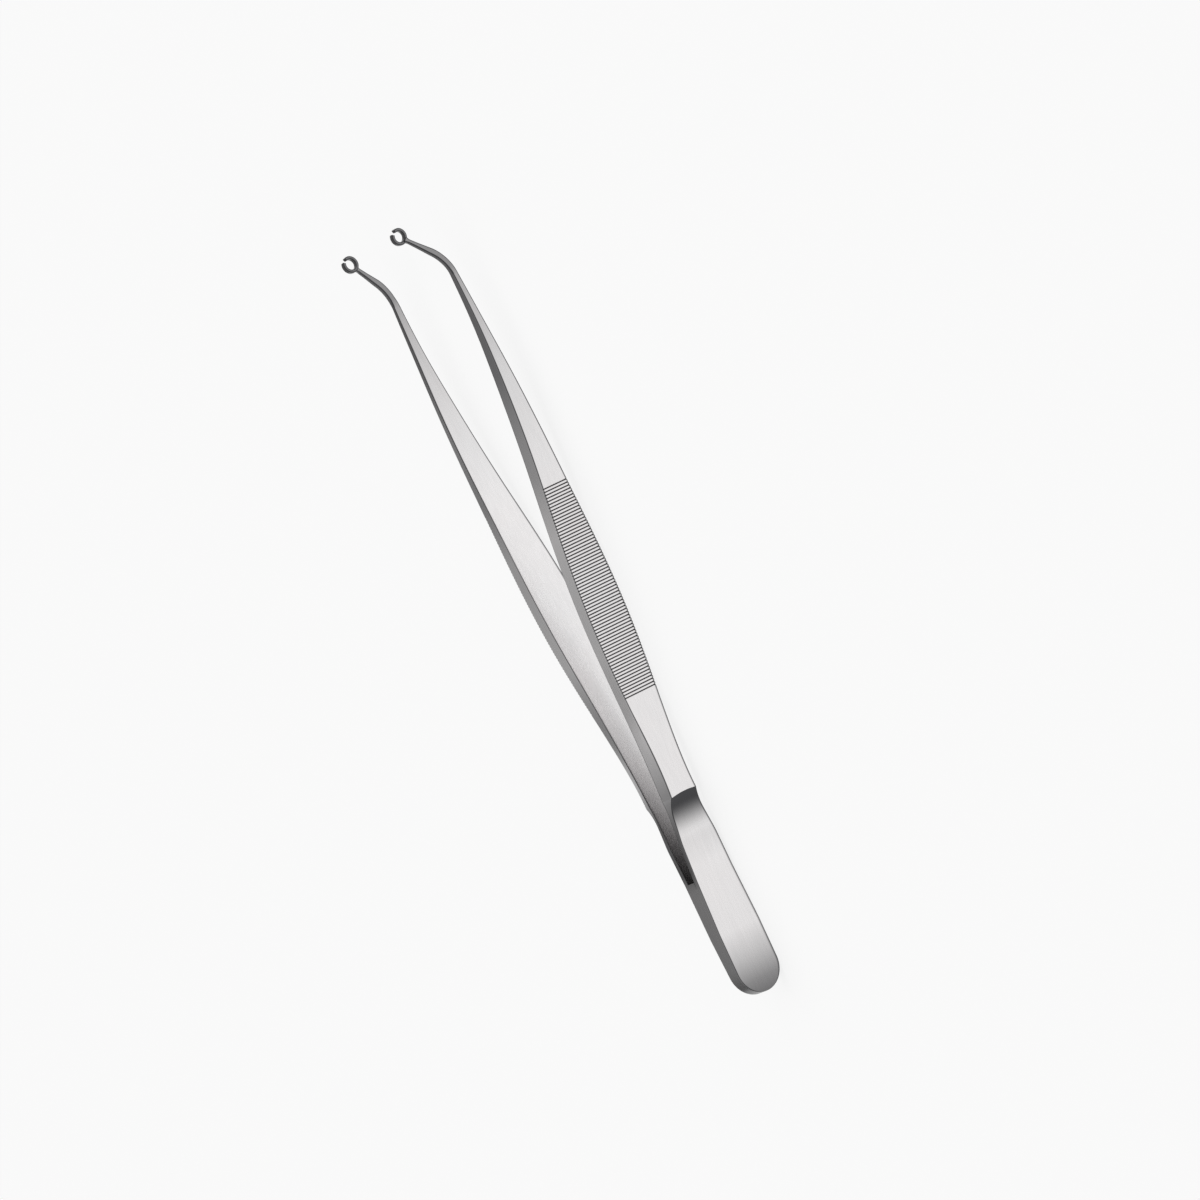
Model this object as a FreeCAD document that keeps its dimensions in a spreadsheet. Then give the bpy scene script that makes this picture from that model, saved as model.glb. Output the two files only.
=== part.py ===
import FreeCAD, Part
import math
import os

import Sketcher

# Suture forceps, in millimetres. Two sprung steel arms are joined at the tail over a wedge-shaped
# spacer. Each arm has a thin leaf that flexes, a shoulder where it steps up to the full handle,
# a cross-grooved grip, a tapering neck and a bent shank that ends in a small open ring.
#
# While it is built the arm lies along +Y with the end of its tail at Y = 0, its width is centred
# on Z = 0, and the forceps open along X about the plane X = 0. The finished pieces are then moved
# so that the forceps rest on their narrow edges at Z = 0, with the origin under their middle.

# name, value and what it measures. Angles are in degrees.
SIZES = [
    ("tail_width", 10.8, "across the tail, whose end is a half round of this width"),
    ("tail_length", 14.0, "from the tail's end to where its sides start to taper"),
    ("spacer_length", 26.0, "from the tail's end to the end of the slot between the arms"),
    ("spacer_end_thickness", 0.5, "thickness of the wedge at the tail's end"),
    ("spacer_slot_thickness", 2.26, "thickness of the wedge where the slot starts"),
    ("leaf_thickness", 1.15, "thickness of the sprung leaf, and of the arm beside the spacer"),
    ("leaf_length", 17.3, "from the slot's end to the edge of the shoulder"),
    ("flexure_distance", 8.0, "from the slot's end to the line where the leaf flexes"),
    ("flexure_gap", 0.1, "hairline between the still heel and the moving blade"),
    ("shoulder_thickness", 2.5, "thickness of the arm at the edge of the shoulder"),
    ("shoulder_radius", 8.0, "radius of the scoop below the shoulder"),
    ("handle_length", 19.5, "from the edge of the shoulder to the start of the flat grip"),
    ("grip_length", 50.0, "length of the flat that carries the grooves"),
    ("neck_length", 43.9, "from the end of the grip to the start of the bend"),
    ("grip_start_gap", 7.6, "between the arms at the start of the grip"),
    ("grip_end_gap", 18.0, "between the arms at the end of the grip"),
    ("bend_gap", 22.65, "between the arms at the start of the bend"),
    ("grip_start_thickness", 2.6, "thickness of the arm at the start of the grip"),
    ("grip_end_thickness", 2.75, "thickness of the arm at the end of the grip"),
    ("bend_thickness", 1.1, "thickness of the arm at the start of the bend"),
    ("flexure_width", 9.24, "mean width of the arm at the flexure"),
    ("shoulder_width", 7.62, "mean width at the shoulder"),
    ("shoulder_bevel", 18.3, "slope of the arm's sides at the shoulder"),
    ("grip_start_width", 8.45, "mean width at the start of the grip"),
    ("grip_start_bevel", 7.4, "slope of the sides at the start of the grip"),
    ("belly_share", 0.4, "share of the grip's length from its start to the widest place"),
    ("belly_width", 9.85, "mean width at the widest place"),
    ("belly_bevel", 1.1, "slope of the sides at the widest place"),
    ("taper_share", 0.7, "share of the grip's length from its start to the middle of its taper"),
    ("taper_width", 8.8, "mean width at the middle of the grip's taper"),
    ("taper_bevel", 5.1, "slope of the sides there"),
    ("grip_end_width", 6.55, "mean width at the end of the grip"),
    ("grip_end_bevel", 11.3, "slope of the sides at the end of the grip"),
    ("neck_share", 0.5, "share of the neck's length from the grip to the neck's middle section"),
    ("neck_width", 3.55, "mean width at the middle of the neck"),
    ("neck_bevel", 15.0, "slope of the sides at the middle of the neck"),
    ("tip_share", 0.77, "share of the neck's length from the grip to the section near its tip"),
    ("tip_width", 2.05, "mean width near the neck's tip"),
    ("tip_bevel", 11.5, "slope of the sides near the neck's tip"),
    ("bend_width", 1.4, "mean width at the start of the bend"),
    ("bend_bevel", 10.0, "slope of the sides at the start of the bend"),
    ("groove_count", 70, "grooves in each grip"),
    ("groove_pitch", 0.65, "from one groove to the next"),
    ("groove_width", 0.34, "width of a groove at the face of the grip"),
    ("groove_depth", 0.18, "depth of a groove"),
    ("bend_radius", 9.4, "radius of the bend, on the shank's centre line"),
    ("shank_rise", 40.8, "angle by which the bend lifts the shank sideways"),
    ("shank_toe_in", 12.8, "angle by which the bend turns the shank towards the other arm"),
    ("shank_length", 7.3, "from the end of the bend to the centre of the ring"),
    ("shank_thickness", 1.05, "thickness of the shank through the bend"),
    ("shank_width", 1.35, "width of the shank through the bend"),
    ("shank_middle_thickness", 0.95, "thickness of the shank halfway from the bend to the ring"),
    ("shank_middle_width", 1.0, "width of the shank halfway from the bend to the ring"),
    ("shank_end_thickness", 0.8, "thickness of the shank at the ring"),
    ("shank_end_width", 0.8, "width of the shank at the ring"),
    ("ring_outer_radius", 1.8, "outer radius of the ring"),
    ("ring_hole_radius", 1.1, "radius of the hole that takes the thread"),
    ("ring_thickness", 1.0, "thickness of the ring"),
    ("ring_slot_width", 0.7, "width of the slot that opens the ring"),
    ("ring_meeting_gap", 0.1, "clearance left between the two rings when the arms are closed"),
    ("blank_margin", 2.0, "how far a blank reaches past the faces that it is trimmed to"),
    ("shank_root_length", 1.0, "how far the shank starts inside the neck"),
]

# name, formula and what it measures. Places are distances along the arm from the tail's end.
DERIVED = [
    ("flexure_at", "spacer_length + flexure_distance", "to the line where the leaf flexes"),
    ("shoulder_at", "spacer_length + leaf_length", "to the edge of the shoulder"),
    ("grip_at", "shoulder_at + handle_length", "to the start of the grip"),
    ("belly_at", "grip_at + grip_length * belly_share", "to the widest place"),
    ("taper_at", "grip_at + grip_length * taper_share", "to the middle of the grip's taper"),
    ("grip_end_at", "grip_at + grip_length", "to the end of the grip"),
    ("neck_at", "grip_end_at + neck_length * neck_share", "to the neck's middle section"),
    ("tip_at", "grip_end_at + neck_length * tip_share", "to the section near the neck's tip"),
    ("bend_at", "grip_end_at + neck_length", "to the start of the bend"),
    ("neck_margin", "( blank_margin + bend_thickness ) / 2", "the margin at the neck's middle section"),
]


NAMES = [name for name, content, meaning in SIZES + DERIVED]

doc = FreeCAD.newDocument("suture_forceps")
sheet = doc.addObject("Spreadsheet::Sheet", "sizes")
for row, (name, content, meaning) in enumerate(SIZES + DERIVED, start=1):
    sheet.set(f"A{row}", name)
    sheet.set(f"B{row}", f"={content}")
    sheet.set(f"C{row}", meaning)
    sheet.setAlias(f"B{row}", name)
doc.recompute()


def size(name):
    """The value of one size in the sheet."""
    return float(sheet.get(name))


def formula(text):
    """An expression in which every name of a size reads its cell."""
    words = []
    for word in text.split(" "):
        words.append(f"sizes.{word}" if word in NAMES else word)
    return " ".join(words)


# The arm's plan


def tangent_arc(start, direction, end):
    """The arc that leaves start along direction and ends at end, and its direction there."""
    chord = end - start
    normal = FreeCAD.Vector(-direction.y, direction.x, 0)
    radius = chord.dot(chord) / (2 * chord.dot(normal))
    centre = start + normal * radius
    middle_ray = (start + end) * 0.5 - centre
    middle = centre + middle_ray.normalize() * abs(radius)
    tangent = direction - chord * (2 * direction.dot(chord) / chord.dot(chord))
    return Part.Arc(start, middle, end), tangent * -1.0


def plan_points():
    """The corners of the right arm's plan, and the arcs of its long faces."""
    point = {}
    end_half = size("spacer_end_thickness") / 2
    slot_half = size("spacer_slot_thickness") / 2
    leaf = size("leaf_thickness")
    slot_at = size("spacer_length")
    grip_at = size("grip_at")
    grip_end_at = size("grip_end_at")
    bend_at = size("bend_at")
    point["tail_in"] = FreeCAD.Vector(end_half, 0, 0)
    point["tail_out"] = FreeCAD.Vector(end_half + leaf, 0, 0)
    point["slot_in"] = FreeCAD.Vector(slot_half, slot_at, 0)
    point["slot_out"] = FreeCAD.Vector(slot_half + leaf, slot_at, 0)
    point["grip_in"] = FreeCAD.Vector(size("grip_start_gap") / 2, grip_at, 0)
    point["grip_out"] = point["grip_in"] + FreeCAD.Vector(size("grip_start_thickness"), 0, 0)
    point["grip_end_in"] = FreeCAD.Vector(size("grip_end_gap") / 2, grip_end_at, 0)
    point["grip_end_out"] = point["grip_end_in"] + FreeCAD.Vector(size("grip_end_thickness"), 0, 0)
    point["bend_in"] = FreeCAD.Vector(size("bend_gap") / 2, bend_at, 0)
    point["bend_out"] = point["bend_in"] + FreeCAD.Vector(size("bend_thickness"), 0, 0)
    margin = FreeCAD.Vector(0, size("blank_margin"), 0)
    point["blank_in"] = point["bend_in"] + margin
    point["blank_out"] = point["bend_out"] + margin

    leaf_run = point["grip_in"] - point["slot_in"]
    leaf_run.normalize()
    leaf_slope = leaf_run.x / leaf_run.y
    shoulder_x = slot_half + size("leaf_length") * leaf_slope + size("shoulder_thickness")
    point["shoulder"] = FreeCAD.Vector(shoulder_x, size("shoulder_at"), 0)

    # The scoop is an arc that leaves the leaf's outer face tangentially and ends at the shoulder.
    outward = FreeCAD.Vector(leaf_run.y, -leaf_run.x, 0)
    radius = size("shoulder_radius")
    to_shoulder = point["shoulder"] - point["slot_out"]
    height = to_shoulder.dot(outward)
    reach = math.sqrt(radius ** 2 - (radius - height) ** 2)
    point["scoop"] = point["slot_out"] + leaf_run * (to_shoulder.dot(leaf_run) - reach)
    centre = point["scoop"] + outward * radius
    half_turn = math.asin(reach / radius) / 2
    scoop_middle = centre + leaf_run * (radius * math.sin(half_turn))
    scoop_middle = scoop_middle - outward * (radius * math.cos(half_turn))

    arcs = {}
    arcs["scoop"] = Part.Arc(point["scoop"], scoop_middle, point["shoulder"])
    arcs["grip_in"], turned = tangent_arc(point["grip_in"], leaf_run, point["grip_end_in"])
    arcs["neck_in"], inner_end = tangent_arc(point["grip_end_in"], turned, point["bend_in"])
    grip_run = point["grip_end_out"] - point["grip_out"]
    grip_run.normalize()
    arcs["neck_out"], outer_end = tangent_arc(point["grip_end_out"], grip_run, point["bend_out"])
    return point, arcs, inner_end + outer_end


POINT, ARCS, BEND_RUN = plan_points()


def crossing(edge, at):
    """Where a line or arc of the plan crosses the distance at, measured along the arm."""
    line = Part.makeLine(FreeCAD.Vector(0, at, 0), FreeCAD.Vector(size("bend_gap"), at, 0))
    distance, pairs, info = edge.toShape().distToShape(line)
    return pairs[0][0].x


def middle_at(at):
    """The middle of the arm's thickness at a distance along it."""
    tiny = 1e-6
    if at < POINT["grip_in"].y - tiny:
        inner = crossing(Part.LineSegment(POINT["slot_in"], POINT["grip_in"]), at)
        outer = crossing(Part.LineSegment(POINT["shoulder"], POINT["grip_out"]), at)
        if at < POINT["shoulder"].y - tiny:
            outer = inner + size("leaf_thickness")
    elif at < POINT["grip_end_in"].y - tiny:
        inner = crossing(ARCS["grip_in"], at)
        outer = crossing(Part.LineSegment(POINT["grip_out"], POINT["grip_end_out"]), at)
    else:
        inner = crossing(ARCS["neck_in"], at)
        outer = crossing(ARCS["neck_out"], at)
    return (inner + outer) / 2


# Helpers for bodies and sketches


def plane(body, role):
    """One of the body's own origin planes."""
    for feature in body.Origin.OriginFeatures:
        if feature.Role == role:
            return feature
    raise ValueError(role)


def new_body(name):
    """An empty body."""
    body = doc.addObject("PartDesign::Body", name)
    body.Label = name
    return body


def new_sketch(body, name, role, placement=None):
    """A sketch on one of the body's origin planes, moved by a placement in that plane's frame."""
    sketch = body.newObject("Sketcher::SketchObject", name)
    sketch.AttachmentSupport = [(plane(body, role), "")]
    sketch.MapMode = "FlatFace"
    if placement is not None:
        sketch.AttachmentOffset = placement
    return sketch


def bind(sketch, kind, places, value, text):
    """Adds a dimension and ties it to an expression of sizes."""
    index = sketch.addConstraint(Sketcher.Constraint(kind, *places, value))
    sketch.setExpression(f"Constraints[{index}]", formula(text))


def close_chain(sketch, edges, smooth=()):
    """Adds edges as a closed chain and returns which end each edge starts from.

    A sketch calls an edge's ends 1 and 2, and may turn an arc round, so the start is the end that
    meets the edge before. Where an edge is named as smooth, it leaves the edge before it
    tangentially.
    """
    for edge in edges:
        sketch.addGeometry(edge, False)
    starts = []
    for index in range(len(edges)):
        previous = edges[index - 1]
        corners = (previous.StartPoint, previous.EndPoint)
        gaps = []
        for end in (1, 2):
            place = sketch.getPoint(index, end)
            gaps.append(min((place - corner).Length for corner in corners))
        starts.append(1 if gaps[0] < gaps[1] else 2)
    for index in range(len(edges)):
        before = (index - 1) % len(edges)
        kind = "Tangent" if index in smooth else "Coincident"
        finish = 2 if starts[before] == 1 else 1
        sketch.addConstraint(Sketcher.Constraint(kind, before, finish, index, starts[index]))
    return starts


def pin(sketch, index, end, across, along):
    """Fixes one end of an edge at expressions of sizes, measured from the sketch's origin."""
    place = sketch.getPoint(index, end)
    bind(sketch, "DistanceX", (-1, 1, index, end), place.x, across)
    if along == "0":
        sketch.addConstraint(Sketcher.Constraint("PointOnObject", index, end, -1))
    else:
        bind(sketch, "DistanceY", (-1, 1, index, end), place.y, along)


def pad(body, name, sketch, length):
    """A pad of a sketch, half of it to each side."""
    feature = body.newObject("PartDesign::Pad", name)
    feature.Profile = sketch
    feature.SideType = "Symmetric"
    feature.setExpression("Length", formula(length))
    body.Tip = feature
    return feature


# The arm's blanks


def arm_plan():
    """The arm seen from its narrow side, padded through more than its width.

    The inner face is straight along the leaf and the handle, then bows out along the grip and back
    along the neck. The outer face is the leaf, the scoop, the shoulder, the flat of the grip and an
    arc along the neck.
    """
    body = new_body("arm_plan")
    sketch = new_sketch(body, "arm_plan_outline", "XY_Plane")
    line = Part.LineSegment
    edges = [
        line(POINT["tail_in"], POINT["tail_out"]),
        line(POINT["tail_out"], POINT["slot_out"]),
        line(POINT["slot_out"], POINT["scoop"]),
        ARCS["scoop"],
        line(POINT["shoulder"], POINT["grip_out"]),
        line(POINT["grip_out"], POINT["grip_end_out"]),
        ARCS["neck_out"],
        line(POINT["bend_out"], POINT["blank_out"]),
        line(POINT["blank_out"], POINT["blank_in"]),
        line(POINT["blank_in"], POINT["bend_in"]),
        ARCS["neck_in"],
        ARCS["grip_in"],
        line(POINT["grip_in"], POINT["slot_in"]),
        line(POINT["slot_in"], POINT["tail_in"]),
    ]
    (tail_end, tail_out, leaf_out, scoop, handle_out, grip_out, neck_out, margin_out, blank_end,
     margin_in, neck_in, grip_in, leaf_in, tail_in) = range(len(edges))
    starts = close_chain(sketch, edges, smooth=(scoop, neck_out, grip_in, leaf_in))

    shoulder = ("spacer_slot_thickness / 2 + ( grip_start_gap - spacer_slot_thickness ) / 2 * leaf_length"
                " / ( leaf_length + handle_length ) + shoulder_thickness")
    corners = [
        (tail_end, "spacer_end_thickness / 2", "0"),
        (tail_out, "spacer_end_thickness / 2 + leaf_thickness", "0"),
        (leaf_out, "spacer_slot_thickness / 2 + leaf_thickness", "spacer_length"),
        (handle_out, shoulder, "shoulder_at"),
        (grip_out, "grip_start_gap / 2 + grip_start_thickness", "grip_at"),
        (neck_out, "grip_end_gap / 2 + grip_end_thickness", "grip_end_at"),
        (margin_out, "bend_gap / 2 + bend_thickness", "bend_at"),
        (blank_end, "bend_gap / 2 + bend_thickness", "bend_at + blank_margin"),
        (neck_in, "bend_gap / 2", "bend_at"),
        (grip_in, "grip_end_gap / 2", "grip_end_at"),
        (leaf_in, "grip_start_gap / 2", "grip_at"),
        (tail_in, "spacer_slot_thickness / 2", "spacer_length"),
    ]
    for index, across, along in corners:
        pin(sketch, index, starts[index], across, along)
    sketch.addConstraint(Sketcher.Constraint("Parallel", leaf_in, leaf_out))
    sketch.addConstraint(Sketcher.Constraint("Horizontal", blank_end))
    sketch.addConstraint(Sketcher.Constraint("Vertical", margin_in))
    bind(sketch, "Radius", (scoop,), size("shoulder_radius"), "shoulder_radius")
    pad(body, "arm_plan_pad", sketch, "2 * tail_width")
    return body


def tail_form():
    """The outline of the tail seen from its broad side: a half round, a parallel part and a taper."""
    body = new_body("tail_form")
    sketch = new_sketch(body, "tail_form_outline", "YZ_Plane")
    half = size("tail_width") / 2
    taper_at = size("tail_length")
    end_at = size("flexure_at") - size("flexure_gap") / 2
    end_half = size("flexure_width") / 2
    vector = FreeCAD.Vector
    edges = [
        Part.Arc(vector(half, half, 0), vector(0, 0, 0), vector(half, -half, 0)),
        Part.LineSegment(vector(half, -half, 0), vector(taper_at, -half, 0)),
        Part.LineSegment(vector(taper_at, -half, 0), vector(end_at, -end_half, 0)),
        Part.LineSegment(vector(end_at, -end_half, 0), vector(end_at, end_half, 0)),
        Part.LineSegment(vector(end_at, end_half, 0), vector(taper_at, half, 0)),
        Part.LineSegment(vector(taper_at, half, 0), vector(half, half, 0)),
    ]
    (round_end, low_side, low_taper, end, high_taper, high_side) = range(len(edges))
    starts = close_chain(sketch, edges, smooth=(round_end, low_side))
    sketch.addConstraint(Sketcher.Constraint("PointOnObject", round_end, 3, -1))
    sketch.addConstraint(Sketcher.Constraint("Horizontal", low_side))
    sketch.addConstraint(Sketcher.Constraint("Horizontal", high_side))
    sketch.addConstraint(Sketcher.Constraint("Symmetric", end, 1, end, 2, -1))
    bind(sketch, "Radius", (round_end,), half, "tail_width / 2")
    bind(sketch, "DistanceX", (-1, 1, round_end, 3), half, "tail_width / 2")
    bind(sketch, "DistanceX", (-1, 1, low_taper, 1), taper_at, "tail_length")
    bind(sketch, "DistanceX", (-1, 1, high_side, 1), taper_at, "tail_length")
    bind(sketch, "DistanceX", (-1, 1, end, 2), end_at, "flexure_at - flexure_gap / 2")
    bind(sketch, "DistanceY", (end, 1, end, 2), 2 * end_half, "flexure_width")
    pad(body, "tail_form_pad", sketch, "4 * ( spacer_slot_thickness + leaf_thickness )")
    return body


def form_section(body, name, at, width, bevel, reach):
    """A four-sided section of the blade's form at one distance along the arm.

    It is centred on the arm's thickness and reaches past both faces, by the size named as reach
    from its middle. Its sides slope by the bevel, so it is wider towards the inner face.
    """
    flare = f"{reach} * tan( {bevel} )" if bevel in NAMES else "0"
    margin = size(reach)
    slope = math.tan(math.radians(size(bevel))) if bevel in NAMES else 0.0
    place = size(at)
    if at == "flexure_at":
        place += size("flexure_gap") / 2
    offset = FreeCAD.Placement(FreeCAD.Vector(middle_at(place), 0, -place), FreeCAD.Rotation())
    sketch = new_sketch(body, name, "XZ_Plane", offset)
    inner = size(width) / 2 + margin * slope
    outer = size(width) / 2 - margin * slope
    corners = [
        FreeCAD.Vector(-margin, inner, 0),
        FreeCAD.Vector(-margin, -inner, 0),
        FreeCAD.Vector(margin, -outer, 0),
        FreeCAD.Vector(margin, outer, 0),
    ]
    edges = [Part.LineSegment(corners[k], corners[(k + 1) % 4]) for k in range(4)]
    close_chain(sketch, edges)
    sketch.addConstraint(Sketcher.Constraint("Symmetric", 0, 1, 0, 2, -1))
    sketch.addConstraint(Sketcher.Constraint("Symmetric", 2, 1, 2, 2, -1))
    bind(sketch, "DistanceX", (0, 1, -1, 1), margin, reach)
    bind(sketch, "DistanceX", (-1, 1, 2, 1), margin, reach)
    bind(sketch, "DistanceY", (0, 2, 0, 1), 2 * inner, f"{width} + 2 * {flare}")
    bind(sketch, "DistanceY", (2, 1, 2, 2), 2 * outer, f"{width} - 2 * {flare}")
    return sketch


def blade_form():
    """The blade's changing width and bevelled sides, as a smooth loft along the arm."""
    body = new_body("blade_form")
    stations = [
        ("flexure", "flexure_at", "flexure_width", None, "blank_margin"),
        ("shoulder", "shoulder_at", "shoulder_width", "shoulder_bevel", "blank_margin"),
        ("grip_start", "grip_at", "grip_start_width", "grip_start_bevel", "blank_margin"),
        ("belly", "belly_at", "belly_width", "belly_bevel", "blank_margin"),
        ("taper", "taper_at", "taper_width", "taper_bevel", "blank_margin"),
        ("grip_end", "grip_end_at", "grip_end_width", "grip_end_bevel", "blank_margin"),
        ("neck", "neck_at", "neck_width", "neck_bevel", "neck_margin"),
        ("tip", "tip_at", "tip_width", "tip_bevel", "bend_thickness"),
        ("bend", "bend_at", "bend_width", "bend_bevel", "bend_thickness"),
    ]
    sections = []
    for name, at, width, bevel, reach in stations:
        sections.append(form_section(body, f"{name}_section", at, width, bevel, reach))
    loft = body.newObject("PartDesign::AdditiveLoft", "blade_form_loft")
    loft.Profile = sections[0]
    loft.Sections = sections[1:]
    body.Tip = loft
    return body


def spacer_plan():
    """The wedge between the arms' tails, seen from the narrow side."""
    body = new_body("spacer_plan")
    sketch = new_sketch(body, "spacer_plan_outline", "XY_Plane")
    thin = size("spacer_end_thickness") / 2
    thick = size("spacer_slot_thickness") / 2
    end_at = size("spacer_length")
    corners = [
        FreeCAD.Vector(thin, 0, 0),
        FreeCAD.Vector(thick, end_at, 0),
        FreeCAD.Vector(-thick, end_at, 0),
        FreeCAD.Vector(-thin, 0, 0),
    ]
    edges = [Part.LineSegment(corners[k], corners[(k + 1) % 4]) for k in range(4)]
    close_chain(sketch, edges)
    sketch.addConstraint(Sketcher.Constraint("Symmetric", 3, 1, 3, 2, -2))
    sketch.addConstraint(Sketcher.Constraint("Symmetric", 1, 1, 1, 2, -2))
    pin(sketch, 0, 1, "spacer_end_thickness / 2", "0")
    pin(sketch, 1, 1, "spacer_slot_thickness / 2", "spacer_length")
    pad(body, "spacer_plan_pad", sketch, "2 * tail_width")
    return body


# The bent shank and the ring


def unit(x, y, z):
    """A direction of length one."""
    vector = FreeCAD.Vector(x, y, z)
    vector.normalize()
    return vector


BEND_START = (POINT["bend_in"] + POINT["bend_out"]) * 0.5
SHANK_IN = unit(BEND_RUN.x, BEND_RUN.y, 0)
SHANK_OUT = unit(-math.tan(math.radians(size("shank_toe_in"))), 1,
                 math.tan(math.radians(size("shank_rise"))))
SIDEWAYS = SHANK_OUT - SHANK_IN * SHANK_OUT.dot(SHANK_IN)
SIDEWAYS.normalize()
BEND_TURN = math.acos(SHANK_OUT.dot(SHANK_IN))


def on_bend(turn):
    """The point and direction of the shank's centre line where it has turned by an angle."""
    radius = size("bend_radius")
    point = BEND_START + SHANK_IN * (radius * math.sin(turn)) + SIDEWAYS * (radius * (1 - math.cos(turn)))
    run = SHANK_IN * math.cos(turn) + SIDEWAYS * math.sin(turn)
    return point, run


BEND_END = on_bend(BEND_TURN)[0]
RING_CENTRE = BEND_END + SHANK_OUT * size("shank_length")
HINGE = FreeCAD.Vector(middle_at(size("flexure_at")), size("flexure_at"), 0)


def closing_angle():
    """How far an arm turns at its flexure, in degrees, until its ring meets the other one."""
    arm = RING_CENTRE - HINGE
    reach = math.hypot(arm.x, arm.y)
    ring_face = (size("ring_thickness") + size("ring_meeting_gap")) / 2
    return math.degrees(math.atan2(arm.x, arm.y) + math.asin((HINGE.x - ring_face) / reach))


CLOSING = closing_angle()
RING_REACH = size("ring_outer_radius") * math.cos(math.radians(CLOSING))
RING_REACH += size("ring_thickness") / 2 * math.sin(math.radians(CLOSING))
OVERALL_LENGTH = RING_CENTRE.y + RING_REACH


def shank_section(body, name, point, run, thickness, width):
    """A rectangle across the shank, with its thickness along the way the forceps open."""
    across = FreeCAD.Vector(1, 0, 0)
    across = across - run * across.dot(run)
    turn = FreeCAD.Rotation(across, run.cross(across), run, "ZXY")
    sketch = new_sketch(body, name, "XY_Plane", FreeCAD.Placement(point, turn))
    half = FreeCAD.Vector(size(thickness) / 2, size(width) / 2, 0)
    corners = [
        FreeCAD.Vector(half.x, half.y, 0),
        FreeCAD.Vector(-half.x, half.y, 0),
        FreeCAD.Vector(-half.x, -half.y, 0),
        FreeCAD.Vector(half.x, -half.y, 0),
    ]
    edges = [Part.LineSegment(corners[k], corners[(k + 1) % 4]) for k in range(4)]
    close_chain(sketch, edges)
    sketch.addConstraint(Sketcher.Constraint("Horizontal", 0))
    sketch.addConstraint(Sketcher.Constraint("Horizontal", 2))
    sketch.addConstraint(Sketcher.Constraint("Vertical", 1))
    sketch.addConstraint(Sketcher.Constraint("Symmetric", 0, 1, 1, 2, -1, 1))
    bind(sketch, "DistanceX", (0, 2, 0, 1), 2 * half.x, thickness)
    bind(sketch, "DistanceY", (1, 2, 1, 1), 2 * half.y, width)
    return sketch


def shank():
    """The shank: round the bend at one size, then tapering to the ring."""
    body = new_body("shank")
    full = ("shank_thickness", "shank_width")
    root = BEND_START - SHANK_IN * size("shank_root_length")
    ring_wall = (size("ring_hole_radius") + size("ring_outer_radius")) / 2
    tip = RING_CENTRE - SHANK_OUT * ring_wall
    sections = [
        shank_section(body, "shank_root", root, SHANK_IN, *full),
        shank_section(body, "shank_start", BEND_START, SHANK_IN, *full),
    ]
    for name, share in (("third", 1 / 3), ("two_thirds", 2 / 3), ("end", 1)):
        point, run = on_bend(BEND_TURN * share)
        sections.append(shank_section(body, f"shank_bend_{name}", point, run, *full))
    halfway = (BEND_END + tip) * 0.5
    sections.append(shank_section(body, "shank_middle", halfway, SHANK_OUT,
                                  "shank_middle_thickness", "shank_middle_width"))
    sections.append(shank_section(body, "shank_tip", tip, SHANK_OUT, "shank_end_thickness", "shank_end_width"))
    loft = body.newObject("PartDesign::AdditiveLoft", "shank_loft")
    loft.Profile = sections[0]
    loft.Sections = sections[1:]
    body.Tip = loft
    return body


def ring():
    """The open ring, flat against its neighbour when the arms are closed.

    Its slot points on past the end of the shank.
    """
    body = new_body("ring")
    sketch = new_sketch(body, "ring_outline", "YZ_Plane")
    origin = FreeCAD.Vector(0, 0, 0)
    outer = sketch.addGeometry(Part.Circle(origin, FreeCAD.Vector(0, 0, 1), size("ring_outer_radius")), False)
    hole = sketch.addGeometry(Part.Circle(origin, FreeCAD.Vector(0, 0, 1), size("ring_hole_radius")), False)
    for circle, radius in ((outer, "ring_outer_radius"), (hole, "ring_hole_radius")):
        sketch.addConstraint(Sketcher.Constraint("Coincident", circle, 3, -1, 1))
        bind(sketch, "Radius", (circle,), size(radius), radius)
    pad(body, "ring_pad", sketch, "ring_thickness")

    turn = FreeCAD.Rotation(FreeCAD.Vector(0, 0, 1), size("shank_rise"))
    slot_sketch = new_sketch(body, "ring_slot_outline", "YZ_Plane", FreeCAD.Placement(origin, turn))
    half = size("ring_slot_width") / 2
    far = 2 * size("ring_outer_radius")
    near = size("ring_hole_radius") / 2
    corners = [
        FreeCAD.Vector(near, half, 0),
        FreeCAD.Vector(near, -half, 0),
        FreeCAD.Vector(far, -half, 0),
        FreeCAD.Vector(far, half, 0),
    ]
    edges = [Part.LineSegment(corners[k], corners[(k + 1) % 4]) for k in range(4)]
    close_chain(slot_sketch, edges)
    slot_sketch.addConstraint(Sketcher.Constraint("Symmetric", 0, 1, 0, 2, -1))
    slot_sketch.addConstraint(Sketcher.Constraint("Symmetric", 2, 1, 2, 2, -1))
    bind(slot_sketch, "DistanceX", (-1, 1, 0, 1), near, "ring_hole_radius / 2")
    bind(slot_sketch, "DistanceX", (-1, 1, 2, 1), far, "2 * ring_outer_radius")
    bind(slot_sketch, "DistanceY", (0, 2, 0, 1), 2 * half, "ring_slot_width")
    bind(slot_sketch, "DistanceY", (2, 1, 2, 2), 2 * half, "ring_slot_width")
    slot = body.newObject("PartDesign::Pocket", "ring_slot")
    slot.Profile = slot_sketch
    slot.SideType = "Symmetric"
    slot.setExpression("Length", formula("2 * ring_thickness"))
    body.Tip = slot
    body.Placement = FreeCAD.Placement(RING_CENTRE, FreeCAD.Rotation(FreeCAD.Vector(0, 0, 1), -CLOSING))
    return body


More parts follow.
